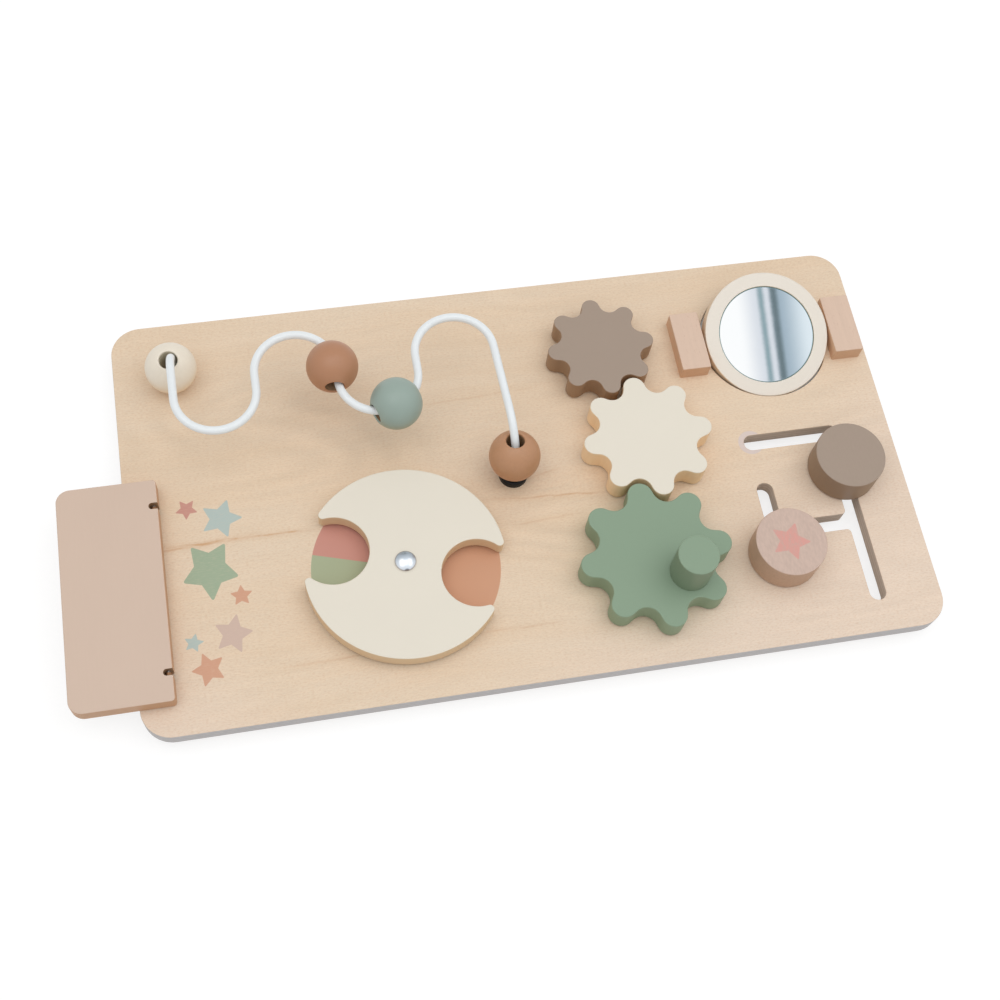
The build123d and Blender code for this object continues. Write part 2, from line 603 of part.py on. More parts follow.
def wave_bead_place(arc, bearing):
    """A bead on one half circle of the wave, its bore along the wire, at this bearing."""
    centre_x = WAVE_LEFT_X + (2 * arc + 1) * WAVE_ARC_RADIUS
    centre_y = WAVE_NEAR_Y if arc % 2 == 0 else WAVE_FAR_Y
    spoke = Rot(0, 0, bearing) * Pos(WAVE_ARC_RADIUS - BEAD_INSET, 0)
    return on_board(centre_x, centre_y, WIRE_HEIGHT) * spoke * Rot(90, 0, 0)


def tan_bead_climb():
    """How far up the last bend, in degrees, the bead at the right end clears the grommet below it."""
    lift = GROMMET_HEIGHT + RUNNING + BEAD_RADIUS - (WIRE_HEIGHT - RIGHT_BEND_RADIUS)
    return math.degrees(math.asin(lift / (RIGHT_BEND_RADIUS - TAN_BEAD_INSET)))


def tan_bend_centre():
    """The middle of the last bend, turned with the last leg."""
    x, y = upright_places()[-1]
    leaning = on_board(x, y, WIRE_HEIGHT - RIGHT_BEND_RADIUS) * Rot(0, 0, RIGHT_LEG_LEAN)
    return leaning * Pos(0, RIGHT_BEND_RADIUS, 0)


def tan_bead_place():
    """The bead at the right end, leaning with the last bend."""
    return tan_bend_centre() * Rot(-tan_bead_climb(), 0, 0) * Pos(0, TAN_BEAD_INSET - RIGHT_BEND_RADIUS, 0)


def cream_bead_place():
    """The bead at the left end, standing on the board and leaning on the first bend."""
    x = WAVE_LEFT_X + CREAM_BEAD_OFFSET_X
    y = LEFT_UPRIGHT_Y + CREAM_BEAD_OFFSET_Y
    rim = math.asin(BEAD_BORE_RADIUS / BEAD_RADIUS) - math.radians(CREAM_BEAD_LEAN)
    return on_board(x, y, RUNNING + BEAD_RADIUS * math.cos(rim)) * Rot(CREAM_BEAD_LEAN, 0, 0)


def bead_places():
    """The four beads, from left to right along the wire."""
    return (
        Bead("bead_cream", cream_bead_place()),
        Bead("bead_brown", wave_bead_place(1, BROWN_BEAD_BEARING)),
        Bead("bead_green", wave_bead_place(2, GREEN_BEAD_BEARING)),
        Bead("bead_tan", tan_bead_place()),
    )


def beads():
    ball = Sphere(BEAD_RADIUS) - Cylinder(BEAD_BORE_RADIUS, 2 * BEAD_RADIUS)
    ball = fillet(ball.edges().filter_by(GeomType.CIRCLE), BEAD_BORE_EDGE)
    for bead in bead_places():
        save(bead.name, bead.place * ball)


os.makedirs("parts", exist_ok=True)
board()
feet()
door()
spinner()
gears()
mirror()
knob("taupe", RIGHT_RUN_X, TAUPE_KNOB_Y)
knob("pink", LEFT_RUN_X, LEFT_RUN_END_Y)
bead_wire()
beads()
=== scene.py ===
import math

import bmesh
import bpy
from bpy.props import FloatProperty, FloatVectorProperty, IntProperty, PointerProperty
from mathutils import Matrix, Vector


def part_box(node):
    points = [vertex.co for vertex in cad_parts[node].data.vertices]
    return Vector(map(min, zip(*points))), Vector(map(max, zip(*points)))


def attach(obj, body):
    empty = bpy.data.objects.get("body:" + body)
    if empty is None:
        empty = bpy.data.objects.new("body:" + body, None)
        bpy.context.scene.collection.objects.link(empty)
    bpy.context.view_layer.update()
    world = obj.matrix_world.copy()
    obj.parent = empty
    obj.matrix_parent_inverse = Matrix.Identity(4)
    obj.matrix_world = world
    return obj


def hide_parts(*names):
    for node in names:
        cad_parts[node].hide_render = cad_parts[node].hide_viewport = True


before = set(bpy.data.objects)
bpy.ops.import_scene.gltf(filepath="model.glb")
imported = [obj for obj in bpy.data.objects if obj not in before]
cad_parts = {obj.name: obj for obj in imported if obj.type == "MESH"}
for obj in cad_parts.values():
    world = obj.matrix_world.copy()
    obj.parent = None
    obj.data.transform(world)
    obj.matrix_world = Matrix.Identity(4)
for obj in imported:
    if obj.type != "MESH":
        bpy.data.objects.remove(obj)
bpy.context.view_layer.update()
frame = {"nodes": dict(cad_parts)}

bl_info = {
    "name": "Wooden Busy Board",
    "version": (1, 0, 0),
    "blender": (4, 5, 0),
    "location": "3D View > Sidebar > Busy Board",
    "description": "Finishes, prints and a studio for a wooden busy board",
    "category": "Object",
}

# The frame is in metres, and the patterns below count in millimetres
MM = 0.001
TO_MM = 1000.0
X, Y, Z = range(3)
ORIGIN = (0.0, 0.0, 0.0)
WHITE = (1.0, 1.0, 1.0)
BLACK = (0.0, 0.0, 0.0)
BOARD_LOW, BOARD_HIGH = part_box("board")
BOARD_MIDDLE = (BOARD_LOW + BOARD_HIGH) / 2
BOARD_THICKNESS = (BOARD_HIGH.z - BOARD_LOW.z) * TO_MM


def linear(code):
    """A colour written as six hex digits, as the shader's linear red, green and blue."""
    parts = [int(code[i:i + 2], 16) / 255 for i in (0, 2, 4)]
    return tuple(p / 12.92 if p <= 0.04045 else ((p + 0.055) / 1.055) ** 2.4 for p in parts)


def colour(name, code, description):
    return FloatVectorProperty(name=name, description=description, subtype="COLOR", size=3,
                               default=linear(code), min=0.0, max=1.0)


def length(name, millimetres, description):
    return FloatProperty(name=name, description=description, default=millimetres * MM,
                         subtype="DISTANCE", unit="LENGTH", min=0.0, precision=5)


def spot(name, metres, description):
    return FloatVectorProperty(name=name, description=description, default=metres,
                               subtype="TRANSLATION", unit="LENGTH")


def share(name, default, description, highest=1.0):
    return FloatProperty(name=name, description=description, default=default,
                         min=0.0, max=highest)


def power(name, watts, description):
    return FloatProperty(name=name, description=description, default=watts,
                         min=0.0, unit="POWER")


# Sizes and colours

class PaintProperties(bpy.types.PropertyGroup):
    cream: colour("Cream", "E7E0D1", "Spinner and middle gear")
    frame: colour("Frame cream", "E9E1D5", "Mirror frame")
    bead: colour("Bead cream", "EFE5D4", "First bead")
    taupe: colour("Taupe", "A29081", "Small gear and one knob")
    sage: colour("Sage", "889E86", "Large gear and its peg")
    blush: colour("Blush", "D4BCAA", "Door")
    pink: colour("Pink", "CBB2A4", "Knob with the star")
    brown: colour("Brown", "B38160", "Second bead")
    pale_sage: colour("Pale sage", "97A89F", "Third bead")
    tan: colour("Tan", "BA8A66", "Bead at the right end of the wire")
    enamel: colour("Enamel", "EBF0F2", "Coating of the bead wire")
    # Painted shade: the side tints and the side shade below darken and warm the upright sides,
    # and the beads' undersides, where shade falls on them
    wall: colour("Side tint", "FFEFDB", "Tint of the sides, where the paint is thinner")
    cream_wall_shade: colour("Warm side tint", "FFE6C8", "The same for the spinner and two gears")
    sage_wall_shade: colour("Sage side tint", "FFFBF2", "The same for the sage pieces")
    door_wall_shade: colour("Door side tint", "F6D9BA", "The same for the door")
    bore: colour("Bore", "9E7E60", "Bare wood inside a bead's bore and the door's notches")
    cream_bore: colour("Cream bore", "E4DAC4", "Inside of the cream bead's bore")
    sheen: share("Roughness", 0.5, "Roughness of the brushed paint")
    side_shade: share("Side shade", 0.06, "How much darker the paint is on the sides")
    # Painted highlight: rounded edges are made paler as if they catch the light
    wear: share("Edge wear", 0.06, "How much paler the paint is along a rounded edge")


class WoodProperties(bpy.types.PropertyGroup):
    birch_light: colour("Birch, light", "E8D6BF", "Lightest tone of the face veneer")
    birch_warm: colour("Birch, warm", "E4CAAC", "Warm tone of the face veneer")
    # Painted sheen: the pale birch tone lies along the near, right and left edges as the
    # varnish's sheen
    birch_sheen: colour("Birch, pale", "EBD8C7", "Sapwood along the near and right edges")
    birch_line: colour("Growth line", "C8986A", "Thin lines where the growth rings surface")
    ply_light: colour("Long ply", "CBC8C8", "Edge of the plies that run with the face")
    ply_dark: colour("Cross ply", "C0BBB9", "Edge of the plies that run across")
    glue: colour("Glue line", "A1978F", "Thin line between two plies")
    # Painted light: the singed tint stands in for the warm light bounced about inside the slots
    # and the mirror hole
    slot_bounce_tint: colour("Singed edge", "FFEFDC", "Tint of the slot's and the mirror hole's walls")
    beech: colour("Beech", "DCC1AD", "Blocks beside the mirror")
    beech_dark: colour("Beech pores", "B38E76", "Short dark flecks in the beech")
    plies: IntProperty(name="Plies", description="Layers in the board",
                       default=7, min=3, max=15)


class PrintProperties(bpy.types.PropertyGroup):
    blue: colour("Blue ink", "B4C2BC", "Two of the stars")
    green: colour("Green ink", "9FAF94", "The largest star")
    red: colour("Red ink", "C99284", "The topmost star")
    orange: colour("Orange ink", "D3A084", "Two of the stars")
    mauve: colour("Mauve ink", "D0B6A7", "One star")
    lilac: colour("Lilac ink", "D9CAC6", "Ring round the slot's end")
    rose: colour("Rose ink", "D9998F", "Star on the pink knob")
    disc_red: colour("Disc, red", "CA9082", "First third of the disc under the spinner")
    disc_green: colour("Disc, green", "A8B090", "Second third of the disc")
    disc_orange: colour("Disc, orange", "D09C7C", "Last third of the disc")
    disc_radius: length("Disc radius", 52.8, "Radius of the printed disc under the spinner")
    ring_radius: length("Ring radius", 7.6, "Outer radius of the ring round the slot's end")
    waist: share("Star waist", 0.5, "A star's inner radius as a share of its outer radius")


class FittingProperties(bpy.types.PropertyGroup):
    # Painted reflection: the chrome colours are painted into the cap's colour as the room it
    # reflects
    chrome: colour("Chrome", "F2F4F7", "Glints on the cap in the middle of the spinner")
    chrome_sky: colour("Chrome, middle", "D3DAE2", "What the cap reflects at its middle")
    chrome_far: colour("Chrome, far side", "A9B4BE", "What the cap reflects on its far side")
    chrome_rim: colour("Chrome, rim", "8F7A66", "What the cap reflects all round its rim")
    chrome_dark: colour("Chrome, dark", "5B5E66", "What the cap reflects at its near edge")
    zinc: colour("Zinc", "B9BBBE", "Screws, nuts, washers and pins")
    bronze: colour("Bronze", "8A684E", "Eyes of the door's hinges")
    brass: colour("Brass", "B99A5C", "Threaded inserts in the gears")
    glass: colour("Mirror", "FBFDFE", "Silvered glass")
    glass_edge: colour("Glass edge", "5E7F7C", "Greenish rim of the glass")
    nylon: colour("Nylon", "E4E1D8", "Bushes and retainers")
    black_rubber: colour("Black rubber", "0E0F10", "Grommet under the bead wire")
    grey_rubber: colour("Grey rubber", "6E6C69", "Feet")
    shaft_radius: length("Bolt radius", 3.0, "Radius of the spinner's bolt under its cap")
    cap_height: length("Cap height", 2.8, "Height of the spinner's cap over its seat")
    cap_rim: length("Cap rim", 0.6, "Height of the upright rim under the cap's dome")
    cap_round: length("Cap rounding", 0.2, "Rounding of the cap's rim")
    eye_width: length("Hinge eye width", 1.6, "Width of the metal eyes of the door's hinges")


class StudioProperties(bpy.types.PropertyGroup):
    camera_place: spot("Camera place", (-0.11618, -0.34153, 0.76711),
                       "Where the camera stands")
    camera_turn: FloatVectorProperty(
        name="Camera turn", description="Which way the camera looks",
        subtype="EULER", unit="ROTATION",
        default=(math.radians(24.501), math.radians(-4.497), math.radians(-10.151)))
    focal_length: FloatProperty(name="Focal length",
                                description="Lens, in mm on a 36 mm sensor",
                                default=51.96, min=10.0)
    right_place: spot("Right lamp place", (0.65, -0.05, 1.46), "Where the right lamp hangs")
    right_power: power("Right lamp", 5.55, "Soft lamp above and to the right")
    left_place: spot("Left lamp place", (-0.47, -0.05, 1.53), "Where the left lamp hangs")
    left_power: power("Left lamp", 4.85, "Soft lamp above and to the left")
    lamp_size: FloatProperty(name="Lamp size", description="Width of each soft lamp",
                             default=1.3, unit="LENGTH", min=0.05)
    ambient: share("Ambient", 0.62, "Light that comes from all round", 4.0)
    floor_tone: share("Floor tone", 0.8, "How pale the floor is to the light")
    floor_glow: share("Floor glow", 0.78, "Part of the floor's white that shadows don't reach")
    haze: colour("Card, haze", "DCE0E7", "Shaded end of the white wall in the mirror")
    slate: colour("Card, slate", "A3B5C2", "Darker side of the window in the mirror")
    mist: colour("Card, mist", "E2ECF2", "Bright side of the window in the mirror")
    gap: colour("Card, gap", "8EA5AC", "Narrow dark band in the mirror")
    dark_gap: colour("Card, dark gap", "6C7C82", "Wide dark band in the mirror")


GROUPS = {
    "board_paint": PaintProperties,
    "board_wood": WoodProperties,
    "board_print": PrintProperties,
    "board_fitting": FittingProperties,
    "board_studio": StudioProperties,
}


# Shader maths

class Field:
    """A value on its way through a material, on which maths is written as plain Python."""

    def __init__(self, finish, socket):
        self.finish = finish
        self.socket = socket

    def __add__(self, other):
        return self.finish.math("ADD", self, other)

    def __sub__(self, other):
        return self.finish.math("SUBTRACT", self, other)

    def __rsub__(self, other):
        return self.finish.math("SUBTRACT", other, self)

    def __mul__(self, other):
        return self.finish.math("MULTIPLY", self, other)

    def __truediv__(self, other):
        return self.finish.math("DIVIDE", self, other)

    def __mod__(self, other):
        return self.finish.math("FLOORED_MODULO", self, other)

    def __abs__(self):
        return self.finish.math("ABSOLUTE", self)

    __radd__ = __add__
    __rmul__ = __mul__

    def rise(self, low, high):
        """0 below low, 1 above high, and smooth between."""
        values = {0: self, 1: low, 2: high}
        settings = {"interpolation_type": "SMOOTHSTEP"}
        return self.finish.node("ShaderNodeMapRange", settings, values)

    def fall(self, low, high):
        """1 below low, 0 above high, and smooth between."""
        return 1 - self.rise(low, high)


# Sockets of a Mix node that blends colours
MIX_SHARE, MIX_FIRST, MIX_SECOND, MIX_RESULT = 0, 6, 7, 2


def opaque(tone):
    """A tone as a colour socket takes it: a field as it is, numbers with an alpha."""
    return tone if isinstance(tone, Field) else tuple(tone) + (1.0,)


class Finish:
    """One material, or the world's light, built node by node."""

    def __init__(self, name, owner=None):
        self.material = owner or bpy.data.materials.new(name)
        self.material.use_nodes = True
        self.tree = self.material.node_tree
        self.tree.nodes.clear()

    def node(self, kind, settings=None, values=None, output=0):
        """Adds a node: its settings first, then the values or links of its sockets."""
        node = self.tree.nodes.new(kind)
        for key, value in (settings or {}).items():
            setattr(node, key, value)
        for key, value in (values or {}).items():
            if isinstance(value, Field):
                self.tree.links.new(value.socket, node.inputs[key])
            else:
                node.inputs[key].default_value = value
        return Field(self, node.outputs[output]) if len(node.outputs) else node

    def math(self, operation, *values):
        return self.node("ShaderNodeMath", {"operation": operation}, dict(enumerate(values)))

    def vector_math(self, operation, values):
        return self.node("ShaderNodeVectorMath", {"operation": operation}, values)

    def place(self, middle=ORIGIN):
        """Millimetres from a point of the object's own space."""
        at = self.node("ShaderNodeTexCoord", output="Object")
        moved = self.vector_math("SUBTRACT", {0: at, 1: tuple(middle)})
        return self.vector_math("SCALE", {0: moved, "Scale": TO_MM})

    def axes(self, place, count=3):
        """The first two or all three parts of a place."""
        return [self.node("ShaderNodeSeparateXYZ", None, {0: place}, k) for k in range(count)]

    def joined(self, x, y, z=0.0):
        return self.node("ShaderNodeCombineXYZ", None, {0: x, 1: y, 2: z})

    def distance(self, *parts):
        """How far a point lies from where all its parts are 0."""
        squares = [part * part for part in parts]
        return self.math("SQRT", sum(squares[1:], squares[0]))

    def facing(self, axis):
        """The surface's own normal along X, Y or Z."""
        normal = self.node("ShaderNodeTexCoord", output="Normal")
        return self.node("ShaderNodeSeparateXYZ", None, {0: normal}, axis)

    def noise(self, place, waves, detail=2.0, roughness=0.5, distortion=0.0):
        """Noise from -1 to 1, with this many waves to the millimetre, all round or by axis."""
        waves = waves if isinstance(waves, tuple) else (waves,) * 3
        scaled = self.vector_math("MULTIPLY", {0: place, 1: waves})
        values = {"Vector": scaled, "Scale": 1.0, "Detail": detail, "Roughness": roughness,
                  "Distortion": distortion}
        return self.node("ShaderNodeTexNoise", {"noise_dimensions": "3D"}, values) * 2 - 1

    def blend(self, share_of_second, first, second, kind="MIX"):
        settings = {"data_type": "RGBA", "blend_type": kind, "clamp_result": False}
        values = {MIX_SHARE: share_of_second, MIX_FIRST: opaque(first),
                  MIX_SECOND: opaque(second)}
        return self.node("ShaderNodeMix", settings, values, MIX_RESULT)

    def shade(self, tone, amount):
        """The tone made lighter or darker by a share that swings about 0."""
        return self.vector_math("SCALE", {0: tone, "Scale": amount + 1})

    def tinted(self, tone, amount, tint):
        """The tone multiplied by the tint where the amount is 1."""
        return self.blend(amount, tone, tint, "MULTIPLY")

    def finished(self, tone, roughness, height=None, depth=0.0, metallic=0.0, **constants):
        """The shader itself; a height of 1 stands this many millimetres proud."""
        values = {"Base Color": opaque(tone), "Roughness": roughness, "Metallic": metallic}
        if height is not None:
            bumps = {"Strength": 1.0, "Distance": depth * MM, "Height": height}
            values["Normal"] = self.node("ShaderNodeBump", None, bumps)
        values.update({key.replace("_", " "): value for key, value in constants.items()})
        shader = self.node("ShaderNodeBsdfPrincipled", None, values)
        self.node("ShaderNodeOutputMaterial", None, {"Surface": shader})
        return self.material


def dress(material, *nodes):
    """Gives carried-over nodes their finish."""
    for name in nodes:
        for slot in frame["nodes"][name].material_slots:
            slot.material = material


# Prints, in millimetres from the middle of the board or knob

INK_EDGE = 0.12
STAR_POINTS = 5
TIP_REACH, TIP_ROUNDING = 0.95, 0.06

# Where the noise of the wood wears the print thin, and where it leaves it whole
BOARD_INK_WEAR = (-2.2, 0.2)
KNOB_INK_WEAR = (-1.1, 0.3)

# Ink, centre, one tip, the waist as a share of the common one, and the width as a share of
# the height
STARS = (
    ("red", (-190.8, 4.3), (-194.2, 9.9), 1.0, 1.0),
    ("blue", (-172.5, -4.0), (-167.9, 7.4), 1.0, 1.0),
    ("green", (-181.2, -33.9), (-190.7, -18.7), 1.1, 0.87),
    ("orange", (-165.9, -51.3), (-165.8, -44.9), 1.0, 1.0),
    ("mauve", (-172.6, -72.8), (-169.5, -61.2), 1.0, 0.92),
    ("blue", (-193.9, -74.8), (-192.3, -69.4), 1.0, 1.0),
    ("orange", (-187.2, -90.7), (-190.1, -81.0), 1.0, 0.94),
)
DISC_CENTRE = (-74.3, -48.1)

# In degrees: where the disc's red third starts, where the next two do, and how sharply
DISC_START = 43.5
DISC_THIRDS = ((120, "disc_green"), (240, "disc_orange"))
DISC_LINE_EDGE = 0.1

RING_CENTRE = (138.9, 1.0)
RING_COVER = 0.85
KNOB_STAR_CENTRE = (-0.8, 0.1)
KNOB_STAR_TURN = -9.5
KNOB_STAR_REACH = 12.0
KNOB_STAR_COVER = 0.9


def star(finish, x, y, centre, tip, waist, narrow=1.0):
    """1 inside a five-pointed star with this centre and one of its tips here, 0 outside."""
    tip_across, tip_up = (tip[0] - centre[0]) / narrow, tip[1] - centre[1]
    reach = math.hypot(tip_across, tip_up)
    turn = math.atan2(tip_up, tip_across)
    across, up = (x - centre[0]) / narrow, y - centre[1]
    sector = 2 * math.pi / STAR_POINTS
    angle = finish.math("ARCTAN2", up, across) - (turn - sector / 2)
    folded = abs(angle % sector - sector / 2)
    distance = finish.distance(across, up)
    notch_x = waist * reach * math.cos(sector / 2)
    notch_y = waist * reach * math.sin(sector / 2)
    side = math.hypot(reach - notch_x, notch_y)
    along = distance * finish.math("COSINE", folded) - reach
    beside = distance * finish.math("SINE", folded)
    outside = along * (notch_y / side) + beside * ((reach - notch_x) / side)
    past_tip = distance - reach * TIP_REACH
    rounded = finish.math("SMOOTH_MAX", outside, past_tip, reach * TIP_ROUNDING)
    return rounded.fall(-INK_EDGE, INK_EDGE)


def disc(finish, x, y, centre, radius):
    """1 inside a circle, 0 outside."""
    distance = finish.distance(x - centre[0], y - centre[1])
    return distance.fall(radius - INK_EDGE, radius + INK_EDGE)


def printed(finish, tone, x, y, top, ink):
    """The board's stars, the disc under the spinner and the ring round the slot's end."""
    worn = finish.noise(finish.joined(x, y), (0.3, 1.6, 1.0), 3.0).rise(*BOARD_INK_WEAR)
    cover = top * worn
    for name, centre, tip, waist, narrow in STARS:
        inside = star(finish, x, y, centre, tip, ink.waist * waist, narrow)
        tone = finish.blend(inside * cover, tone, getattr(ink, name))
    angle = finish.math("ARCTAN2", y - DISC_CENTRE[1], x - DISC_CENTRE[0]) * (180 / math.pi)
    turned_by = (angle - DISC_START) % 360
    sectors = ink.disc_red
    for line, name in DISC_THIRDS:
        past = turned_by.rise(line - DISC_LINE_EDGE, line + DISC_LINE_EDGE)
        sectors = finish.blend(past, sectors, getattr(ink, name))
    inside = disc(finish, x, y, DISC_CENTRE, ink.disc_radius * TO_MM)
    tone = finish.blend(inside * top, tone, sectors)
    ring = disc(finish, x, y, RING_CENTRE, ink.ring_radius * TO_MM)
    return finish.blend(ring * cover * RING_COVER, tone, ink.lilac)


def printed_knob(finish, tone, place, fibres, ink):
    """The star on a knob, worn along its grain."""
    x, y = finish.axes(place, 2)
    turn = math.radians(KNOB_STAR_TURN)
    tip = (KNOB_STAR_CENTRE[0] + KNOB_STAR_REACH * math.cos(turn),
           KNOB_STAR_CENTRE[1] + KNOB_STAR_REACH * math.sin(turn))
    inside = star(finish, x, y, KNOB_STAR_CENTRE, tip, ink.waist)
    cover = inside * finish.facing(Z).rise(*PRINTED_FACE) * fibres.rise(*KNOB_INK_WEAR)
    rose = finish.shade(tuple(ink.rose), fibres * 0.06)
    return finish.blend(cover * KNOB_STAR_COVER, tone, rose)


# Finishes

# How much a surface faces up, from 0 for a wall to 1 for a level face: each pair says where a
# mask starts and where it is full
PAINTED_WALL = (0.3, 0.65)
ROUNDED_FROM, ROUNDED_TO = (0.35, 0.7), (0.88, 0.985)
PRINTED_FACE = (0.8, 0.95)
BOARD_FACE = (0.75, 0.95)
BOARD_SIDE = (0.35, 0.75)
NOTCH_WALL = (0.5, 0.8)
BEAD_SHADED_UNDERSIDE = (-0.5, 0.35)

# Growth lines of the face veneer: height, slope, left end, right end and strength
GROWTH_LINES = (
    (-17.5, 0.0, -222.0, -122.0, 0.75),
    (-20.0, 0.05, -215.0, -150.0, 0.45),
    (-14.0, -0.06, -22.0, 46.0, 0.6),
    (-8.0, 0.2, -18.0, 24.0, 0.4),
    (-31.0, 0.04, -16.0, 30.0, 0.35),
    (-96.0, 0.03, -150.0, 10.0, 0.3),
    (52.0, 0.02, -80.0, 20.0, 0.25),
)
LINE_WANDER = 3.0
LINE_BREAKS = (-0.6, 0.35)
LINE_ENDS = (-6, 14)
LINE_CORE, LINE_CORE_COVER = (0.15, 0.9), 0.7
LINE_HALO, LINE_HALO_COVER = (0.3, 4.0), 0.22

# Figure of the face veneer: waves to the millimetre along and across the grain, then the
# noise's detail, roughness and distortion
VENEER = {
    "clouds": ((0.006, 0.018, 0.0), 2.0),
    "bands": ((0.004, 0.07, 0.0), 3.0, 0.6),
    "wisps": ((0.03, 0.16, 0.0), 3.0, 0.6, 0.8),
    "threads": ((0.05, 0.75, 0.0), 2.0),
    "fibres": ((0.3, 1.1, 0.0), 3.0, 0.7),
    "specks": ((0.6, 1.3, 0.0), 2.0, 0.6),
    "flecks": ((0.16, 1.9, 0.0), 1.0),
    "patches": ((0.012, 0.03, 0.0), 2.0),
}
SWAY_WAVES, SWAY = (0.0045, 0.009, 0.0), 16
WARM_CLOUDS, WARM_BANDS, WARM_RANGE = 0.55, 0.4, (-0.75, 0.75)
WISP_DEPTH, THREAD_DEPTH, FIBRE_DEPTH = 0.05, 0.035, 0.095
SPECKS_SHOWN, FLECKS_SHOWN, PATCHES_SHOWN = (-0.2, 0.6), (0.45, 0.7), (-0.3, 0.5)
SPECK_COVER = FLECK_COVER = 0.3

# Painted sheen, a paler tone along the edges standing in for the lamps' sheen on the varnish:
# how far right, far left and near a point lies counts towards it, and the clouds blur where it
# starts and is full, in millimetres
SHEEN_RIGHT, SHEEN_NEAR, SHEEN_BLUR = 0.6, 0.9, 25
SHEEN_LEFT, SHEEN_LEFT_FROM = 0.9, 150
SHEEN_RANGE, SHEEN_COVER = (60, 170), 0.7

# The faint contours of the growth rings: their shape, depth, and where they show
RING_WAVES, RING_SPREAD, RING_SLOPE, RING_DEPTH = (0.0035, 0.012, 0.0), 9, 0.02, 0.035
RING_PATCHES, RINGS_SHOWN = (0.008, 0.012, 0.0), (-0.15, 0.5)

# The plies on the board's edge: where a ply ends, where its glue line shows, and how much
PLY_END = (0.42, 0.58)
GLUE_LINE = (0.38, 0.5)
GLUE_COVER = 0.3
EDGE_ROUGHER = 0.12

# Half length and half width of the board within which an upright wall is a slot's or hole's,
# and how much lighter such a wall is painted, as painted light for the light bounced inside it
SLOT_INSET = 8
SLOT_REACH = tuple(size * TO_MM / 2 - SLOT_INSET for size in (BOARD_HIGH - BOARD_LOW)[:2])
SLOT_FADE = 2
SLOT_BOUNCE_LIGHT = 0.2

# Waves to the millimetre of the lacquer's fine ripple, the paint's depth in millimetres, and
# how much the grain stands out against how much it colours
PEEL = 1.1
PAINT_DEPTH = 0.014
GRAIN_HEIGHT = 10

# The door's notches, in millimetres: half their width, and how far in they reach
NOTCH_HALF = (2.0, 2.2)
NOTCH_REACH = (6.0, 5.5)


def along_grain(axis, lengthwise, across):
    """Waves to the millimetre of a figure that runs along one axis."""
    return tuple(lengthwise if k == axis else across for k in (X, Y, Z))


def growth_lines(finish, x, y):
    """Where a growth ring surfaces: thin, wandering, and broken along its length."""
    wander = finish.noise(finish.joined(x, y * 0.2), (0.02, 0.02, 1.0), 3.0) * LINE_WANDER
    broken = finish.noise(finish.joined(x, y), (0.09, 0.5, 1.0), 3.0).rise(*LINE_BREAKS)
    before, after = LINE_ENDS
    total = 0.0
    for height, slope, left, right, strength in GROWTH_LINES:
        off = abs(y - height - x * slope + wander + slope * left)
        ends = x.rise(left + before, left + after) * x.fall(right - after, right - before)
        line = off.fall(*LINE_CORE) * LINE_CORE_COVER + off.fall(*LINE_HALO) * LINE_HALO_COVER
        total = line * ends * strength + total
    return total * broken


def ply_edge(finish, place, x, y, z, wood):
    """The cut plies on the board's sides, painted light on the walls of the slots and the mirror
    hole, and the roughness of the cut.
    """
    ply = (z + BOARD_THICKNESS) * (wood.plies / BOARD_THICKNESS)
    long_grain = finish.math("PINGPONG", ply, 1.0).rise(*PLY_END)
    glue = abs(ply % 1 - 0.5).rise(*GLUE_LINE)
    cut = finish.noise(place, (0.5, 0.5, 1.6), 3.0)
    edge = finish.blend(long_grain, wood.ply_light, wood.ply_dark)
    edge = finish.blend(glue * GLUE_COVER, edge, wood.glue)
    edge = finish.shade(edge, cut * 0.05)
    in_length, in_width = (abs(at).fall(reach, reach + SLOT_FADE)
                           for at, reach in zip((x, y), SLOT_REACH))
    within = in_length * in_width
    # Painted light: the walls of the slots and the mirror hole are lightened and warmed for the
    # light bounced between them
    return finish.tinted(finish.shade(edge, within * SLOT_BOUNCE_LIGHT), within, wood.slot_bounce_tint), cut


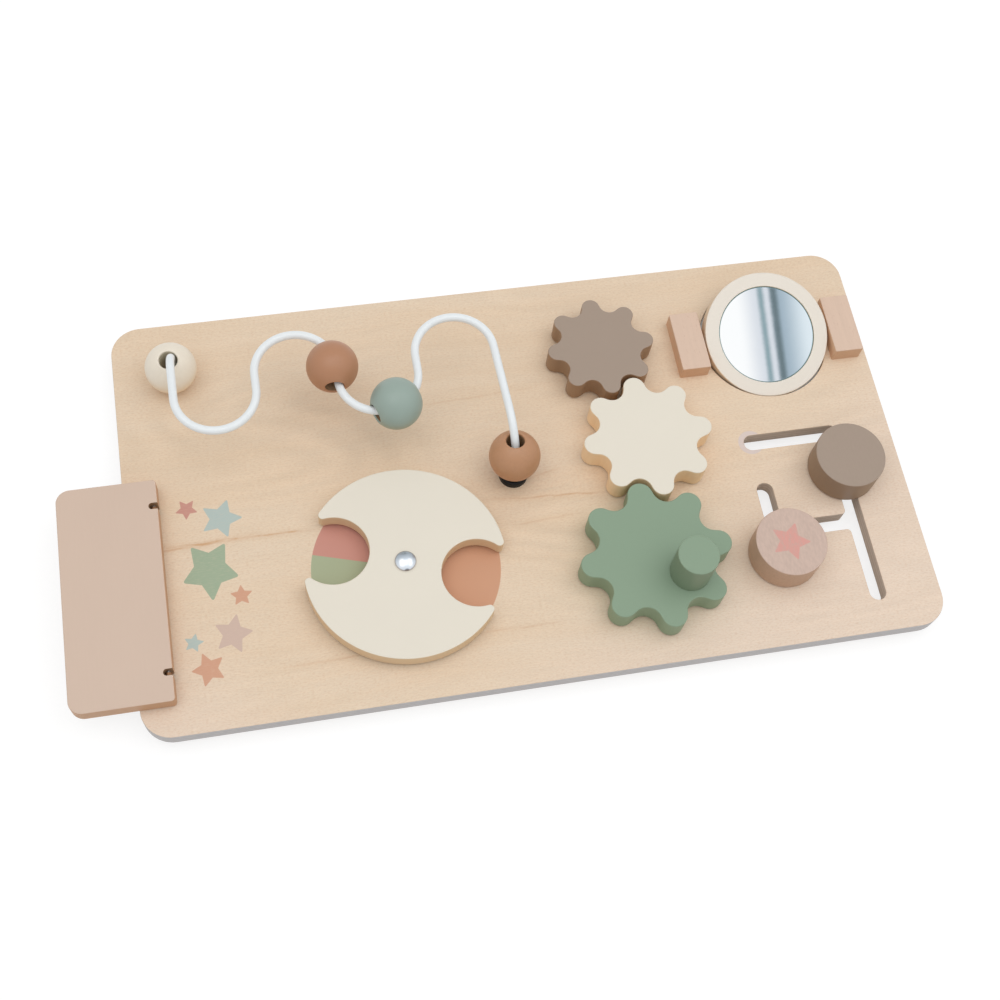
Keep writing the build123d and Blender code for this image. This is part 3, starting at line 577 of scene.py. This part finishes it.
def birch_plywood(wood, ink):
    """The board: birch veneer with its prints, and plies on its edges."""
    finish = Finish("Birch plywood")
    place = finish.place((BOARD_MIDDLE.x, BOARD_MIDDLE.y, BOARD_HIGH.z))
    x, y, z = finish.axes(place)
    sway = finish.noise(place, SWAY_WAVES, 2.0) * SWAY
    grain_place = finish.joined(x, y + sway)
    clouds, bands, wisps, threads, fibres, specks, flecks, patches = (
        finish.noise(grain_place, *layer) for layer in VENEER.values())
    warmth = (clouds * WARM_CLOUDS + bands * WARM_BANDS).rise(*WARM_RANGE)
    tone = finish.blend(warmth, wood.birch_light, wood.birch_warm)
    # Painted sheen: a paler tone towards the near, right and left edges, for the lamps' sheen on
    # the varnish
    ends = finish.math("MAXIMUM", x * SHEEN_RIGHT, x * -SHEEN_LEFT - SHEEN_LEFT_FROM)
    sheen_band = (ends - y * SHEEN_NEAR + clouds * SHEEN_BLUR).rise(*SHEEN_RANGE)
    tone = finish.blend(sheen_band * SHEEN_COVER, tone, wood.birch_sheen)
    rings = finish.noise(place, RING_WAVES, 1.0) * RING_SPREAD + y * RING_SLOPE
    contours = finish.math("SINE", rings * (2 * math.pi))
    shown = finish.noise(place, RING_PATCHES, 1.0).rise(*RINGS_SHOWN)
    tone = finish.shade(tone, contours * shown * RING_DEPTH)
    fine = wisps * WISP_DEPTH + threads * THREAD_DEPTH + fibres * FIBRE_DEPTH
    tone = finish.shade(tone, fine)
    tone = finish.blend(specks.rise(*SPECKS_SHOWN) * SPECK_COVER, tone, wood.birch_line)
    tone = finish.blend(growth_lines(finish, x, y), tone, wood.birch_line)
    flecks = flecks.rise(*FLECKS_SHOWN)
    in_patches = flecks * patches.rise(*PATCHES_SHOWN)
    tone = finish.blend(in_patches * FLECK_COVER, tone, wood.birch_line)
    up = finish.facing(Z)
    tone = printed(finish, tone, x, y, up.rise(*BOARD_FACE), ink)
    side = abs(up).fall(*BOARD_SIDE)
    edge, cut = ply_edge(finish, place, x, y, z, wood)
    tone = finish.blend(side, tone, edge)
    roughness = fibres * 0.04 + 0.5 + side * EDGE_ROUGHER
    height = fibres * 0.3 + threads * 0.3 + cut * side * 1.2 - flecks * 0.5
    return finish.finished(tone, roughness, height, 0.02, Specular_IOR_Level=0.35)


def shade_and_highlight(finish, tone, paint, darker=0.0, tint=None):
    """Painted shade on the sides, warmer and darker where shade falls, and a painted highlight
    along rounded edges.
    """
    up = abs(finish.facing(Z))
    # Painted shade: the sides take a warm tint and are darkened where shade falls on them
    wall = up.fall(*PAINTED_WALL)
    tone = finish.tinted(tone, wall, tint or paint.wall)
    # Painted highlight: rounded edges are made paler as if they catch the light
    edge = up.rise(*ROUNDED_FROM) * up.fall(*ROUNDED_TO)
    return finish.shade(tone, edge * paint.wear - wall * (paint.side_shade + darker))


def satin(finish, tone, paint, mottle, peel, grain):
    """The paint's shader: slightly uneven, finely rippled, with the grain showing through."""
    roughness = mottle * 0.04 + peel * 0.03 + paint.sheen
    height = peel * 0.5 + grain
    return finish.finished(tone, roughness, height, PAINT_DEPTH, Specular_IOR_Level=0.4)


def painted_wood(name, tint, paint, *, along=X, grain=0.012, darker=0.0, wall=None,
                 middle=ORIGIN, ink=None):
    """Satin paint over wood whose grain runs along one axis and still shows faintly."""
    finish = Finish(name)
    place = finish.place(middle)
    fibres = finish.noise(place, along_grain(along, 0.35, 0.9), 3.0)
    streaks = finish.noise(place, along_grain(along, 0.012, 0.11), 2.0)
    mottle = finish.noise(place, 0.05, 2.0)
    peel = finish.noise(place, PEEL, 2.0)
    figure = fibres * grain + streaks * (grain * 0.3) + mottle * 0.014
    tone = finish.shade(tuple(tint), figure)
    if ink is not None:
        tone = printed_knob(finish, tone, place, fibres, ink)
    # Painted shade on the sides and a painted highlight on the rounded edges, set by darker and
    # wall
    tone = shade_and_highlight(finish, tone, paint, darker, wall)
    return satin(finish, tone, paint, mottle, peel, fibres * (grain * GRAIN_HEIGHT))


def painted_door(tint, paint, notches, reach):
    """The door's paint, left off inside the two notches for its hinges."""
    finish = Finish("Blush paint")
    place = finish.place()
    x, y = finish.axes(place, 2)
    fibres = finish.noise(place, along_grain(Y, 0.06, 0.9), 3.0)
    mottle = finish.noise(place, along_grain(Y, 0.02, 0.03), 2.0)
    peel = finish.noise(place, PEEL, 2.0)
    tone = finish.shade(tuple(tint), fibres * 0.014 + mottle * 0.025)
    # Painted shade on the door's sides, in its own side tint, and a painted highlight on its
    # edges
    tone = shade_and_highlight(finish, tone, paint, tint=paint.door_wall_shade)
    near = finish.math("MINIMUM", *(abs(y - notch) for notch in notches))
    inside = near.fall(*NOTCH_HALF) * x.rise(*(reach - depth for depth in NOTCH_REACH))
    inside = inside * abs(finish.facing(Z)).fall(*NOTCH_WALL)
    tone = finish.blend(inside, tone, paint.bore)
    return satin(finish, tone, paint, mottle, peel, fibres * 0.2)


# How far inside a bead's own radius its bore starts, and where it is full
BORE_DEPTH = (1.3, 1.0)


def turned_bead(name, tint, paint, grain, inside, middle, radius):
    """A painted bead with its turning marks, darker below as painted shade, and bare wood in its
    bore.
    """
    finish = Finish(name)
    place = finish.place(middle)
    mottle = finish.noise(place, 0.09, 2.0)
    fibres = finish.noise(place, along_grain(Z, 0.05, 0.8), 3.0)
    peel = finish.noise(place, 0.8, 2.0)
    tone = finish.shade(tuple(tint), mottle * 0.02 + fibres * grain)
    # Painted shade: the underside takes the side tint, darker below the bead
    tone = finish.tinted(tone, finish.facing(Z).fall(*BEAD_SHADED_UNDERSIDE), paint.wall)
    distance = finish.distance(*finish.axes(place))
    bore = distance.fall(*(radius - depth for depth in BORE_DEPTH))
    tone = finish.blend(bore, tone, inside)
    roughness = mottle * 0.05 + (paint.sheen - 0.08)
    height = peel + fibres * (grain * 12)
    return finish.finished(tone, roughness, height, 0.01, Specular_IOR_Level=0.5)


def beech_wood(wood, paint):
    """Bare beech with its short dark pores, darker end grain, and painted shade on its sides."""
    finish = Finish("Beech")
    place = finish.place()
    fibres = finish.noise(place, along_grain(Y, 0.05, 1.5), 3.0)
    bands = finish.noise(place, along_grain(Y, 0.012, 0.28), 2.0)
    pores = finish.noise(place, along_grain(Y, 0.3, 2.6), 1.0).rise(0.3, 0.6)
    end = abs(finish.facing(Y)).rise(0.6, 0.9)
    tone = finish.shade(tuple(wood.beech), fibres * 0.05 + bands * 0.05)
    tone = finish.blend(pores * 0.4 + end * 0.2, tone, wood.beech_dark)
    # Painted shade: the beech's sides take the paint's side tint
    tone = finish.tinted(tone, abs(finish.facing(Z)).fall(*PAINTED_WALL), paint.wall)
    height = fibres * 0.4 - pores
    return finish.finished(tone, fibres * 0.04 + 0.55, height, 0.03, Specular_IOR_Level=0.3)


def enamelled_wire(paint):
    """Glossy white enamel, faintly uneven as it is dipped."""
    finish = Finish("White enamel")
    place = finish.place()
    ripple = finish.noise(place, 0.25, 2.0)
    specks = finish.noise(place, 1.6, 2.0)
    tone = finish.shade(tuple(paint.enamel), ripple * 0.02)
    return finish.finished(tone, ripple * 0.04 + 0.3, ripple + specks * 0.3, 0.02,
                           Coat_Weight=0.4, Coat_Roughness=0.12)


def bright_metal(name, tint, roughness):
    """Metal with a fine brushed or tumbled surface."""
    finish = Finish(name)
    place = finish.place()
    tumble = finish.noise(place, 0.7, 3.0)
    scratch = finish.noise(place, (5.0, 0.35, 1.0), 2.0)
    tone = finish.shade(tuple(tint), tumble * 0.05)
    rough = (tumble + abs(scratch)) * (roughness * 0.3) + roughness
    return finish.finished(tone, rough, tumble + scratch * 0.3, 0.004, metallic=1.0)


# What the cap reflects, as shares of its radius: each glint's middle, and the half width and
# half height where it is full and where it ends; then the dark spot at the near edge
GLINTS = (
    ((-0.42, -0.25), (0.05, 0.3), (0.1, 0.55)),
    ((0.42, -0.3), (0.05, 0.26), (0.1, 0.5)),
)
DARK_SPOT = -0.97
DARK_NARROW, DARK_FLAT = 10, 30
DARK_COVER = 0.85
RIM_BAND, RIM_COVER = (0.88, 1.0), 0.7


def polished_chrome(fitting, middle, radius):
    """Bright plating with the room's lighter and darker parts painted into its colour as a
    painted reflection.
    """
    finish = Finish("Chrome")
    place = finish.place(middle)
    across, up = (part / radius for part in finish.axes(place, 2))
    bands = finish.noise(finish.joined(across, up * 0.25), (1.9, 0.8, 1.0), 2.0)
    far = (up + bands * 0.3).rise(-0.5, 0.7)
    tone = finish.blend(far, fitting.chrome_sky, fitting.chrome_far)
    glints = 0.0
    for (at_across, at_up), width, height in GLINTS:
        glint = abs(across - at_across).fall(*width) * abs(up - at_up).fall(*height)
        glints = glint + glints
    # Painted highlights: the glints stand in for the lamps' reflection in the cap
    tone = finish.blend(glints, tone, fitting.chrome)
    above = up - DARK_SPOT
    off = across * across * DARK_NARROW + above * above * DARK_FLAT
    tone = finish.blend(off.fall(0.1, 1.0) * DARK_COVER, tone, fitting.chrome_dark)
    rim = finish.distance(across, up).rise(*RIM_BAND)
    tone = finish.blend(rim * RIM_COVER, tone, fitting.chrome_rim)
    scratch = finish.noise(place, 4.0, 2.0)
    tone = finish.shade(tone, bands * 0.08)
    return finish.finished(tone, abs(scratch) * 0.05 + 0.34, scratch, 0.001, metallic=1.0)


def soft_plastic(name, tint, roughness, specular=0.5):
    """Moulded nylon or rubber, with a faint moulding grain."""
    finish = Finish(name)
    place = finish.place()
    pebble = finish.noise(place, 2.2, 2.0)
    cloud = finish.noise(place, 0.12, 2.0)
    tone = finish.shade(tuple(tint), cloud * 0.06 + pebble * 0.02)
    return finish.finished(tone, pebble * 0.05 + roughness, pebble, 0.012,
                           Specular_IOR_Level=specular)


# How far inside the glass's own radius its greenish edge starts, and where it is full
GLASS_RIM = (0.7, 0.2)


def mirror_glass(fitting):
    """Silvered glass, faintly smeared, with a greenish edge."""
    finish = Finish("Mirror glass")
    low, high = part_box("mirror_glass")
    radius = (high.x - low.x) / 2 * TO_MM
    place = finish.place((low + high) / 2)
    distance = finish.distance(*finish.axes(place))
    smear = finish.noise(place, (0.05, 0.12, 0.05), 3.0)
    rim = distance.rise(*(radius - depth for depth in GLASS_RIM))
    tone = finish.blend(rim, fitting.glass, fitting.glass_edge)
    roughness = smear * 0.008 + rim * 0.15 + 0.02
    return finish.finished(tone, roughness, smear, 0.002, metallic=1.0)


# Shapes

DOME_STEPS = 16
CAP_SEGMENTS = 96
SHARP_EDGE = math.radians(40)
RIM_CORNER = 0.3
SAME_POINT = 1e-7


def arc(radius, centre_height, start, end, steps):
    """Points of a half outline along a circle about the axis, angles from it in radians."""
    angles = [start + (end - start) * k / steps for k in range(steps + 1)]
    return [(radius * math.sin(a), centre_height + radius * math.cos(a)) for a in angles]


def link(name, data):
    """An object of this name and data, put in the scene."""
    item = bpy.data.objects.new(name, data)
    bpy.context.scene.collection.objects.link(item)
    return item


def as_mesh(name, shape):
    """The mesh of a finished bmesh, which is freed."""
    mesh = bpy.data.meshes.new(name)
    shape.to_mesh(mesh)
    shape.free()
    return mesh


def turned(name, profile, centre):
    """A piece spun from its half outline of radius and height about an upright line."""
    shape = bmesh.new()
    points = [shape.verts.new((centre.x + radius, centre.y, height))
              for radius, height in profile]
    lines = [shape.edges.new(pair) for pair in zip(points, points[1:])]
    bmesh.ops.spin(shape, geom=points + lines, cent=centre, axis=(0, 0, 1), dvec=ORIGIN,
                   angle=2 * math.pi, steps=CAP_SEGMENTS, use_merge=True)
    bmesh.ops.remove_doubles(shape, verts=shape.verts, dist=SAME_POINT)
    bmesh.ops.recalc_face_normals(shape, faces=shape.faces)
    for face in shape.faces:
        face.smooth = True
    for edge in shape.edges:
        edge.smooth = edge.calc_face_angle(0.0) < SHARP_EDGE
    return link(name, as_mesh(name, shape))


def cap_profile(low, high, fitting):
    """The spinner's bolt from its tip to the top of its domed cap."""
    radius = (high.x - low.x) / 2
    seat = high.z - fitting.cap_height
    rim = seat + fitting.cap_rim
    rounding = fitting.cap_round
    corner = rounding * RIM_CORNER
    dome_edge = radius - rounding
    rise = high.z - rim
    dome_radius = (dome_edge ** 2 + rise ** 2) / (2 * rise)
    spread = math.asin(dome_edge / dome_radius)
    shaft = [(0.0, low.z), (fitting.shaft_radius, low.z), (fitting.shaft_radius, seat)]
    side = [(dome_edge, seat), (radius, seat + rounding), (radius, rim - rounding),
            (radius - corner, rim - corner)]
    return shaft + side + arc(dome_radius, high.z - dome_radius, spread, 0.0, DOME_STEPS)


# Pieces

class BoardOperator(bpy.types.Operator):
    """Gives the board its veneer, its plies and its prints"""
    bl_idname = "busy_board.board"
    bl_label = "Board"

    def execute(self, context):
        scene = context.scene
        dress(birch_plywood(scene.board_wood, scene.board_print), "board")
        return {"FINISHED"}


class DoorOperator(bpy.types.Operator):
    """Paints the door and gives its hinges their metal"""
    bl_idname = "busy_board.door"
    bl_label = "Door"

    def execute(self, context):
        paint, fitting = context.scene.board_paint, context.scene.board_fitting
        low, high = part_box("door_hinge_eyes")
        inset = fitting.eye_width / 2
        notches = [at * TO_MM for at in (low.y + inset, high.y - inset)]
        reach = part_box("door_panel")[1].x * TO_MM
        dress(painted_door(paint.blush, paint, notches, reach), "door_panel")
        dress(bright_metal("Bronze", fitting.bronze, 0.4), "door_hinge_eyes")
        return {"FINISHED"}


class SpinnerOperator(bpy.types.Operator):
    """Paints the spinner, and makes its bolt with the polished cap"""
    bl_idname = "busy_board.spinner"
    bl_label = "Spinner"

    def execute(self, context):
        paint, fitting = context.scene.board_paint, context.scene.board_fitting
        # Painted shade: darker and the warm side tint set the shade painted on the spinner's
        # sides
        cream = painted_wood("Cream paint, spinner", paint.cream, paint,
                             grain=0.004, darker=0.02, wall=paint.cream_wall_shade)
        dress(cream, "spinner_disc")
        low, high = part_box("spinner_bolt")
        centre = (low + high) / 2
        bolt = turned("spinner_cap_bolt", cap_profile(low, high, fitting), centre)
        cap_radius = (high.x - low.x) / 2 * TO_MM
        bolt.data.materials.append(polished_chrome(fitting, centre, cap_radius))
        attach(bolt, "panel")
        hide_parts("spinner_bolt")
        return {"FINISHED"}


class GearsOperator(bpy.types.Operator):
    """Paints the three gears and the peg"""
    bl_idname = "busy_board.gears"
    bl_label = "Gears"

    def execute(self, context):
        paint = context.scene.board_paint
        # Painted shade: the darker shares and side tints set how much shade is painted on each
        # piece's sides
        sage, cream = {"wall": paint.sage_wall_shade}, {"wall": paint.cream_wall_shade}
        looks = {
            "gear_large": ("Sage paint, gear", paint.sage, {"darker": -0.06, **sage}),
            "gear_large_peg": ("Sage paint, peg", paint.sage,
                               {"along": Z, "darker": 0.17, **sage}),
            "gear_middle": ("Cream paint, gear", paint.cream,
                            {"grain": 0.004, "darker": -0.24, **cream}),
            "gear_small": ("Taupe paint, gear", paint.taupe, {"darker": 0.02, **cream}),
        }
        for piece, (name, tint, look) in looks.items():
            dress(painted_wood(name, tint, paint, **look), piece)
        return {"FINISHED"}


class MirrorOperator(bpy.types.Operator):
    """Finishes the mirror, its frame and the blocks that carry it"""
    bl_idname = "busy_board.mirror"
    bl_label = "Mirror"

    def execute(self, context):
        scene = context.scene
        paint = scene.board_paint
        dress(painted_wood("Cream paint, frame", paint.frame, paint, grain=0.02), "mirror_ring")
        dress(mirror_glass(scene.board_fitting), "mirror_glass")
        dress(beech_wood(scene.board_wood, paint), "mirror_block_left", "mirror_block_right")
        return {"FINISHED"}


class KnobsOperator(bpy.types.Operator):
    """Paints the two knobs and prints a star on one"""
    bl_idname = "busy_board.knobs"
    bl_label = "Knobs"

    def execute(self, context):
        paint, ink = context.scene.board_paint, context.scene.board_print
        low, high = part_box("pink_knob")
        # Painted shade: darker sets the shade painted on the knobs' sides
        pink = painted_wood("Pink paint", paint.pink, paint, along=Y, grain=0.14,
                            darker=0.08, middle=(low + high) / 2, ink=ink)
        taupe = painted_wood("Taupe paint, knob", paint.taupe, paint, along=Y, grain=0.03,
                             darker=0.12)
        dress(pink, "pink_knob")
        dress(taupe, "taupe_knob")
        return {"FINISHED"}


class WireOperator(bpy.types.Operator):
    """Coats the bead wire and its grommet"""
    bl_idname = "busy_board.wire"
    bl_label = "Bead wire"

    def execute(self, context):
        fitting = context.scene.board_fitting
        dress(enamelled_wire(context.scene.board_paint), "bead_wire")
        dress(soft_plastic("Black rubber", fitting.black_rubber, 0.5, 0.25), "wire_grommet")
        return {"FINISHED"}


class BeadsOperator(bpy.types.Operator):
    """Paints the four beads"""
    bl_idname = "busy_board.beads"
    bl_label = "Beads"

    def execute(self, context):
        paint = context.scene.board_paint
        looks = {
            "bead_cream": (paint.bead, 0.03, paint.cream_bore),
            "bead_brown": (paint.brown, 0.02, paint.bore),
            "bead_green": (paint.pale_sage, 0.012, paint.bore),
            "bead_tan": (paint.tan, 0.07, paint.bore),
        }
        for piece, (tint, grain, inside) in looks.items():
            low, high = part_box(piece)
            middle, radius = (low + high) / 2, (high.x - low.x) / 2 * TO_MM
            name = piece.replace("bead_", "").capitalize() + " bead"
            dress(turned_bead(name, tint, paint, grain, inside, middle, radius), piece)
        return {"FINISHED"}


class FittingsOperator(bpy.types.Operator):
    """Finishes the feet, screws, nuts, washers, pins, bushes and inserts"""
    bl_idname = "busy_board.fittings"
    bl_label = "Fittings"

    def execute(self, context):
        fitting = context.scene.board_fitting
        gears = ("gear_large", "gear_middle", "gear_small")
        knobs = ("taupe", "pink")
        zinc = ["foot_screws", "door_hinge_pins", "spinner_washer", "spinner_nut",
                "mirror_pivot_pins", "mirror_block_screws", "wire_washers", "wire_nuts"]
        zinc += [gear + kind for gear in gears for kind in ("_washer", "_screw")]
        zinc += [knob + "_knob_screw" for knob in knobs]
        nylon = ["spinner_bush", "gear_bushes"]
        nylon += [knob + kind for knob in knobs for kind in ("_slider_bush", "_slider_retainer")]
        inserts = [gear + "_insert" for gear in gears]
        dress(bright_metal("Zinc-plated steel", fitting.zinc, 0.3), *zinc)
        dress(bright_metal("Brass", fitting.brass, 0.28), *inserts)
        dress(soft_plastic("White nylon", fitting.nylon, 0.4), *nylon)
        dress(soft_plastic("Grey rubber", fitting.grey_rubber, 0.7, 0.3), "rubber_feet")
        return {"FINISHED"}


# Stage

FLOOR_HALF, FLOOR_SEGMENTS = 6.0, 8

# Part of the floor's light that is left beneath the mirror's hole, how far past the frame that
# patch fades out in millimetres, and what the shown floor adds to make up a full white
HOLE_LIGHT = 0.15
HOLE_FADE = (6, 12)
FLOOR_LIFT = 0.06

# The card that the mirror reflects: its middle, half width and how far its bands lean; then,
# in millimetres from its middle, where each tone starts and is full, and the middle and two
# half widths of each dark gap
CARD_PLACE = (0.5975, -0.1, 1.2)
CARD_HALF, CARD_SEGMENTS = 0.3, 2
CARD_LEAN = 0.083
CARD_STEPS = (("haze", -42, -6), ("slate", 8, 16), ("mist", 22, 68))
CARD_GAPS = (("gap", -2, 0.5, 8.0), ("dark_gap", 17.5, 1.0, 9.5))
CARD_UNSEEN_BY = ("camera", "diffuse", "shadow", "transmission", "volume_scatter")

SENSOR_WIDTH = 36.0
CLIP_START, CLIP_END = 0.01, 50.0


def seen_directly(finish):
    """1 for what the camera, a reflection or a clear piece shows, 0 for the object's light."""
    camera, glossy, clear = (
        finish.node("ShaderNodeLightPath", output=name)
        for name in ("Is Camera Ray", "Is Glossy Ray", "Is Transmission Ray"))
    return finish.math("MAXIMUM", finish.math("MAXIMUM", camera, glossy), clear)


def floor_finish(studio):
    """A white floor that keeps soft shadows, and is dim beneath the mirror's hole."""
    finish = Finish("Studio floor")
    low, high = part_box("mirror_ring")
    hole = (high.x - low.x) / 2 * TO_MM
    off = finish.distance(*finish.axes(finish.place((low + high) / 2), 2))
    beyond = off.rise(*(hole + fade for fade in HOLE_FADE)) * (1 - HOLE_LIGHT) + HOLE_LIGHT
    lit_tone = opaque((studio.floor_tone,) * 3)
    shown_tone = opaque((1 - studio.floor_glow + FLOOR_LIFT,) * 3)
    lit = finish.node("ShaderNodeBsdfDiffuse", None, {"Color": lit_tone})
    shown = finish.node("ShaderNodeBsdfDiffuse", None, {"Color": shown_tone})
    glow = finish.node("ShaderNodeEmission", None,
                       {"Color": opaque(WHITE), "Strength": studio.floor_glow})
    shown = finish.node("ShaderNodeAddShader", None, {0: shown, 1: glow})
    mixed = finish.node("ShaderNodeMixShader", None,
                        {0: seen_directly(finish) * beyond, 1: lit, 2: shown})
    finish.node("ShaderNodeOutputMaterial", None, {"Surface": mixed})
    return finish.material


def card_finish(studio):
    """What the mirror reflects: a white wall, two dark upright gaps and a window."""
    finish = Finish("Studio card")
    x, y = finish.axes(finish.place(CARD_PLACE), 2)
    along = x + y * CARD_LEAN
    tone = WHITE
    for name, start, full in CARD_STEPS:
        tone = finish.blend(along.rise(start, full), tone, getattr(studio, name))
    for name, middle, full, end in CARD_GAPS:
        tone = finish.blend(abs(along - middle).fall(full, end), tone, getattr(studio, name))
    return finish.finished(BLACK, 1.0, Specular_IOR_Level=0.0, Emission_Color=tone,
                           Emission_Strength=1.0)


def lamp(name, place, watts, size):
    """A soft round lamp that shines at the middle of the board."""
    data = bpy.data.lights.new(name, "AREA")
    data.shape = "DISK"
    data.size = size
    data.energy = watts
    item = link(name, data)
    item.location = place
    item.rotation_euler = (-Vector(place)).to_track_quat("-Z", "Y").to_euler()


def level_sheet(name, centre, half, segments, material):
    """A flat sheet of the stage, lying level."""
    shape = bmesh.new()
    bmesh.ops.create_grid(shape, x_segments=segments, y_segments=segments, size=half)
    bmesh.ops.translate(shape, verts=shape.verts, vec=centre)
    sheet = link(name, as_mesh(name, shape))
    sheet.data.materials.append(material)
    return sheet


def surround(scene, studio):
    """Light from all round, shown as white."""
    scene.world = bpy.data.worlds.new("Studio")
    finish = Finish("Studio", scene.world)
    light, shown = (
        finish.node("ShaderNodeBackground", None, {"Color": opaque(WHITE), "Strength": strength})
        for strength in (studio.ambient, 1.0))
    mixed = finish.node("ShaderNodeMixShader", None,
                        {0: seen_directly(finish), 1: light, 2: shown})
    finish.node("ShaderNodeOutputWorld", None, {"Surface": mixed})


class StageOperator(bpy.types.Operator):
    """Sets out the floor, the lamps, the surrounding light and the camera"""
    bl_idname = "busy_board.stage"
    bl_label = "Stage"

    def execute(self, context):
        scene = context.scene
        studio = scene.board_studio
        level_sheet("Floor", ORIGIN, FLOOR_HALF, FLOOR_SEGMENTS, floor_finish(studio))
        card = level_sheet("Card", CARD_PLACE, CARD_HALF, CARD_SEGMENTS, card_finish(studio))
        for ray in CARD_UNSEEN_BY:
            setattr(card, "visible_" + ray, False)
        lamp("Right lamp", studio.right_place, studio.right_power, studio.lamp_size)
        lamp("Left lamp", studio.left_place, studio.left_power, studio.lamp_size)
        surround(scene, studio)
        camera = bpy.data.cameras.new("Camera")
        camera.lens = studio.focal_length
        camera.sensor_width = SENSOR_WIDTH
        camera.clip_start, camera.clip_end = CLIP_START, CLIP_END
        scene.camera = link("Camera", camera)
        scene.camera.location = studio.camera_place
        scene.camera.rotation_euler = studio.camera_turn
        scene.view_settings.view_transform = "Standard"
        return {"FINISHED"}


OPERATORS = (StageOperator, BoardOperator, DoorOperator, SpinnerOperator, GearsOperator,
             MirrorOperator, KnobsOperator, WireOperator, BeadsOperator, FittingsOperator)


class BusyBoardPanel(bpy.types.Panel):
    """Every piece's operator, and the sizes and colours they use"""
    bl_idname = "VIEW3D_PT_busy_board"
    bl_label = "Busy Board"
    bl_space_type = "VIEW_3D"
    bl_region_type = "UI"
    bl_category = "Busy Board"

    def draw(self, context):
        for operator in OPERATORS:
            self.layout.operator(operator.bl_idname)
        for name, group in GROUPS.items():
            box = self.layout.box()
            for key in group.__annotations__:
                box.prop(getattr(context.scene, name), key)


def register():
    for group in GROUPS.values():
        bpy.utils.register_class(group)
    for name, group in GROUPS.items():
        setattr(bpy.types.Scene, name, PointerProperty(type=group))
    for item in OPERATORS + (BusyBoardPanel,):
        bpy.utils.register_class(item)


def unregister():
    for item in reversed(OPERATORS + (BusyBoardPanel,)):
        bpy.utils.unregister_class(item)
    for name, group in reversed(GROUPS.items()):
        delattr(bpy.types.Scene, name)
        bpy.utils.unregister_class(group)


def main():
    register()
    for operator in OPERATORS:
        getattr(bpy.ops.busy_board, operator.bl_idname.split(".")[1])()


if __name__ == "__main__":
    main()
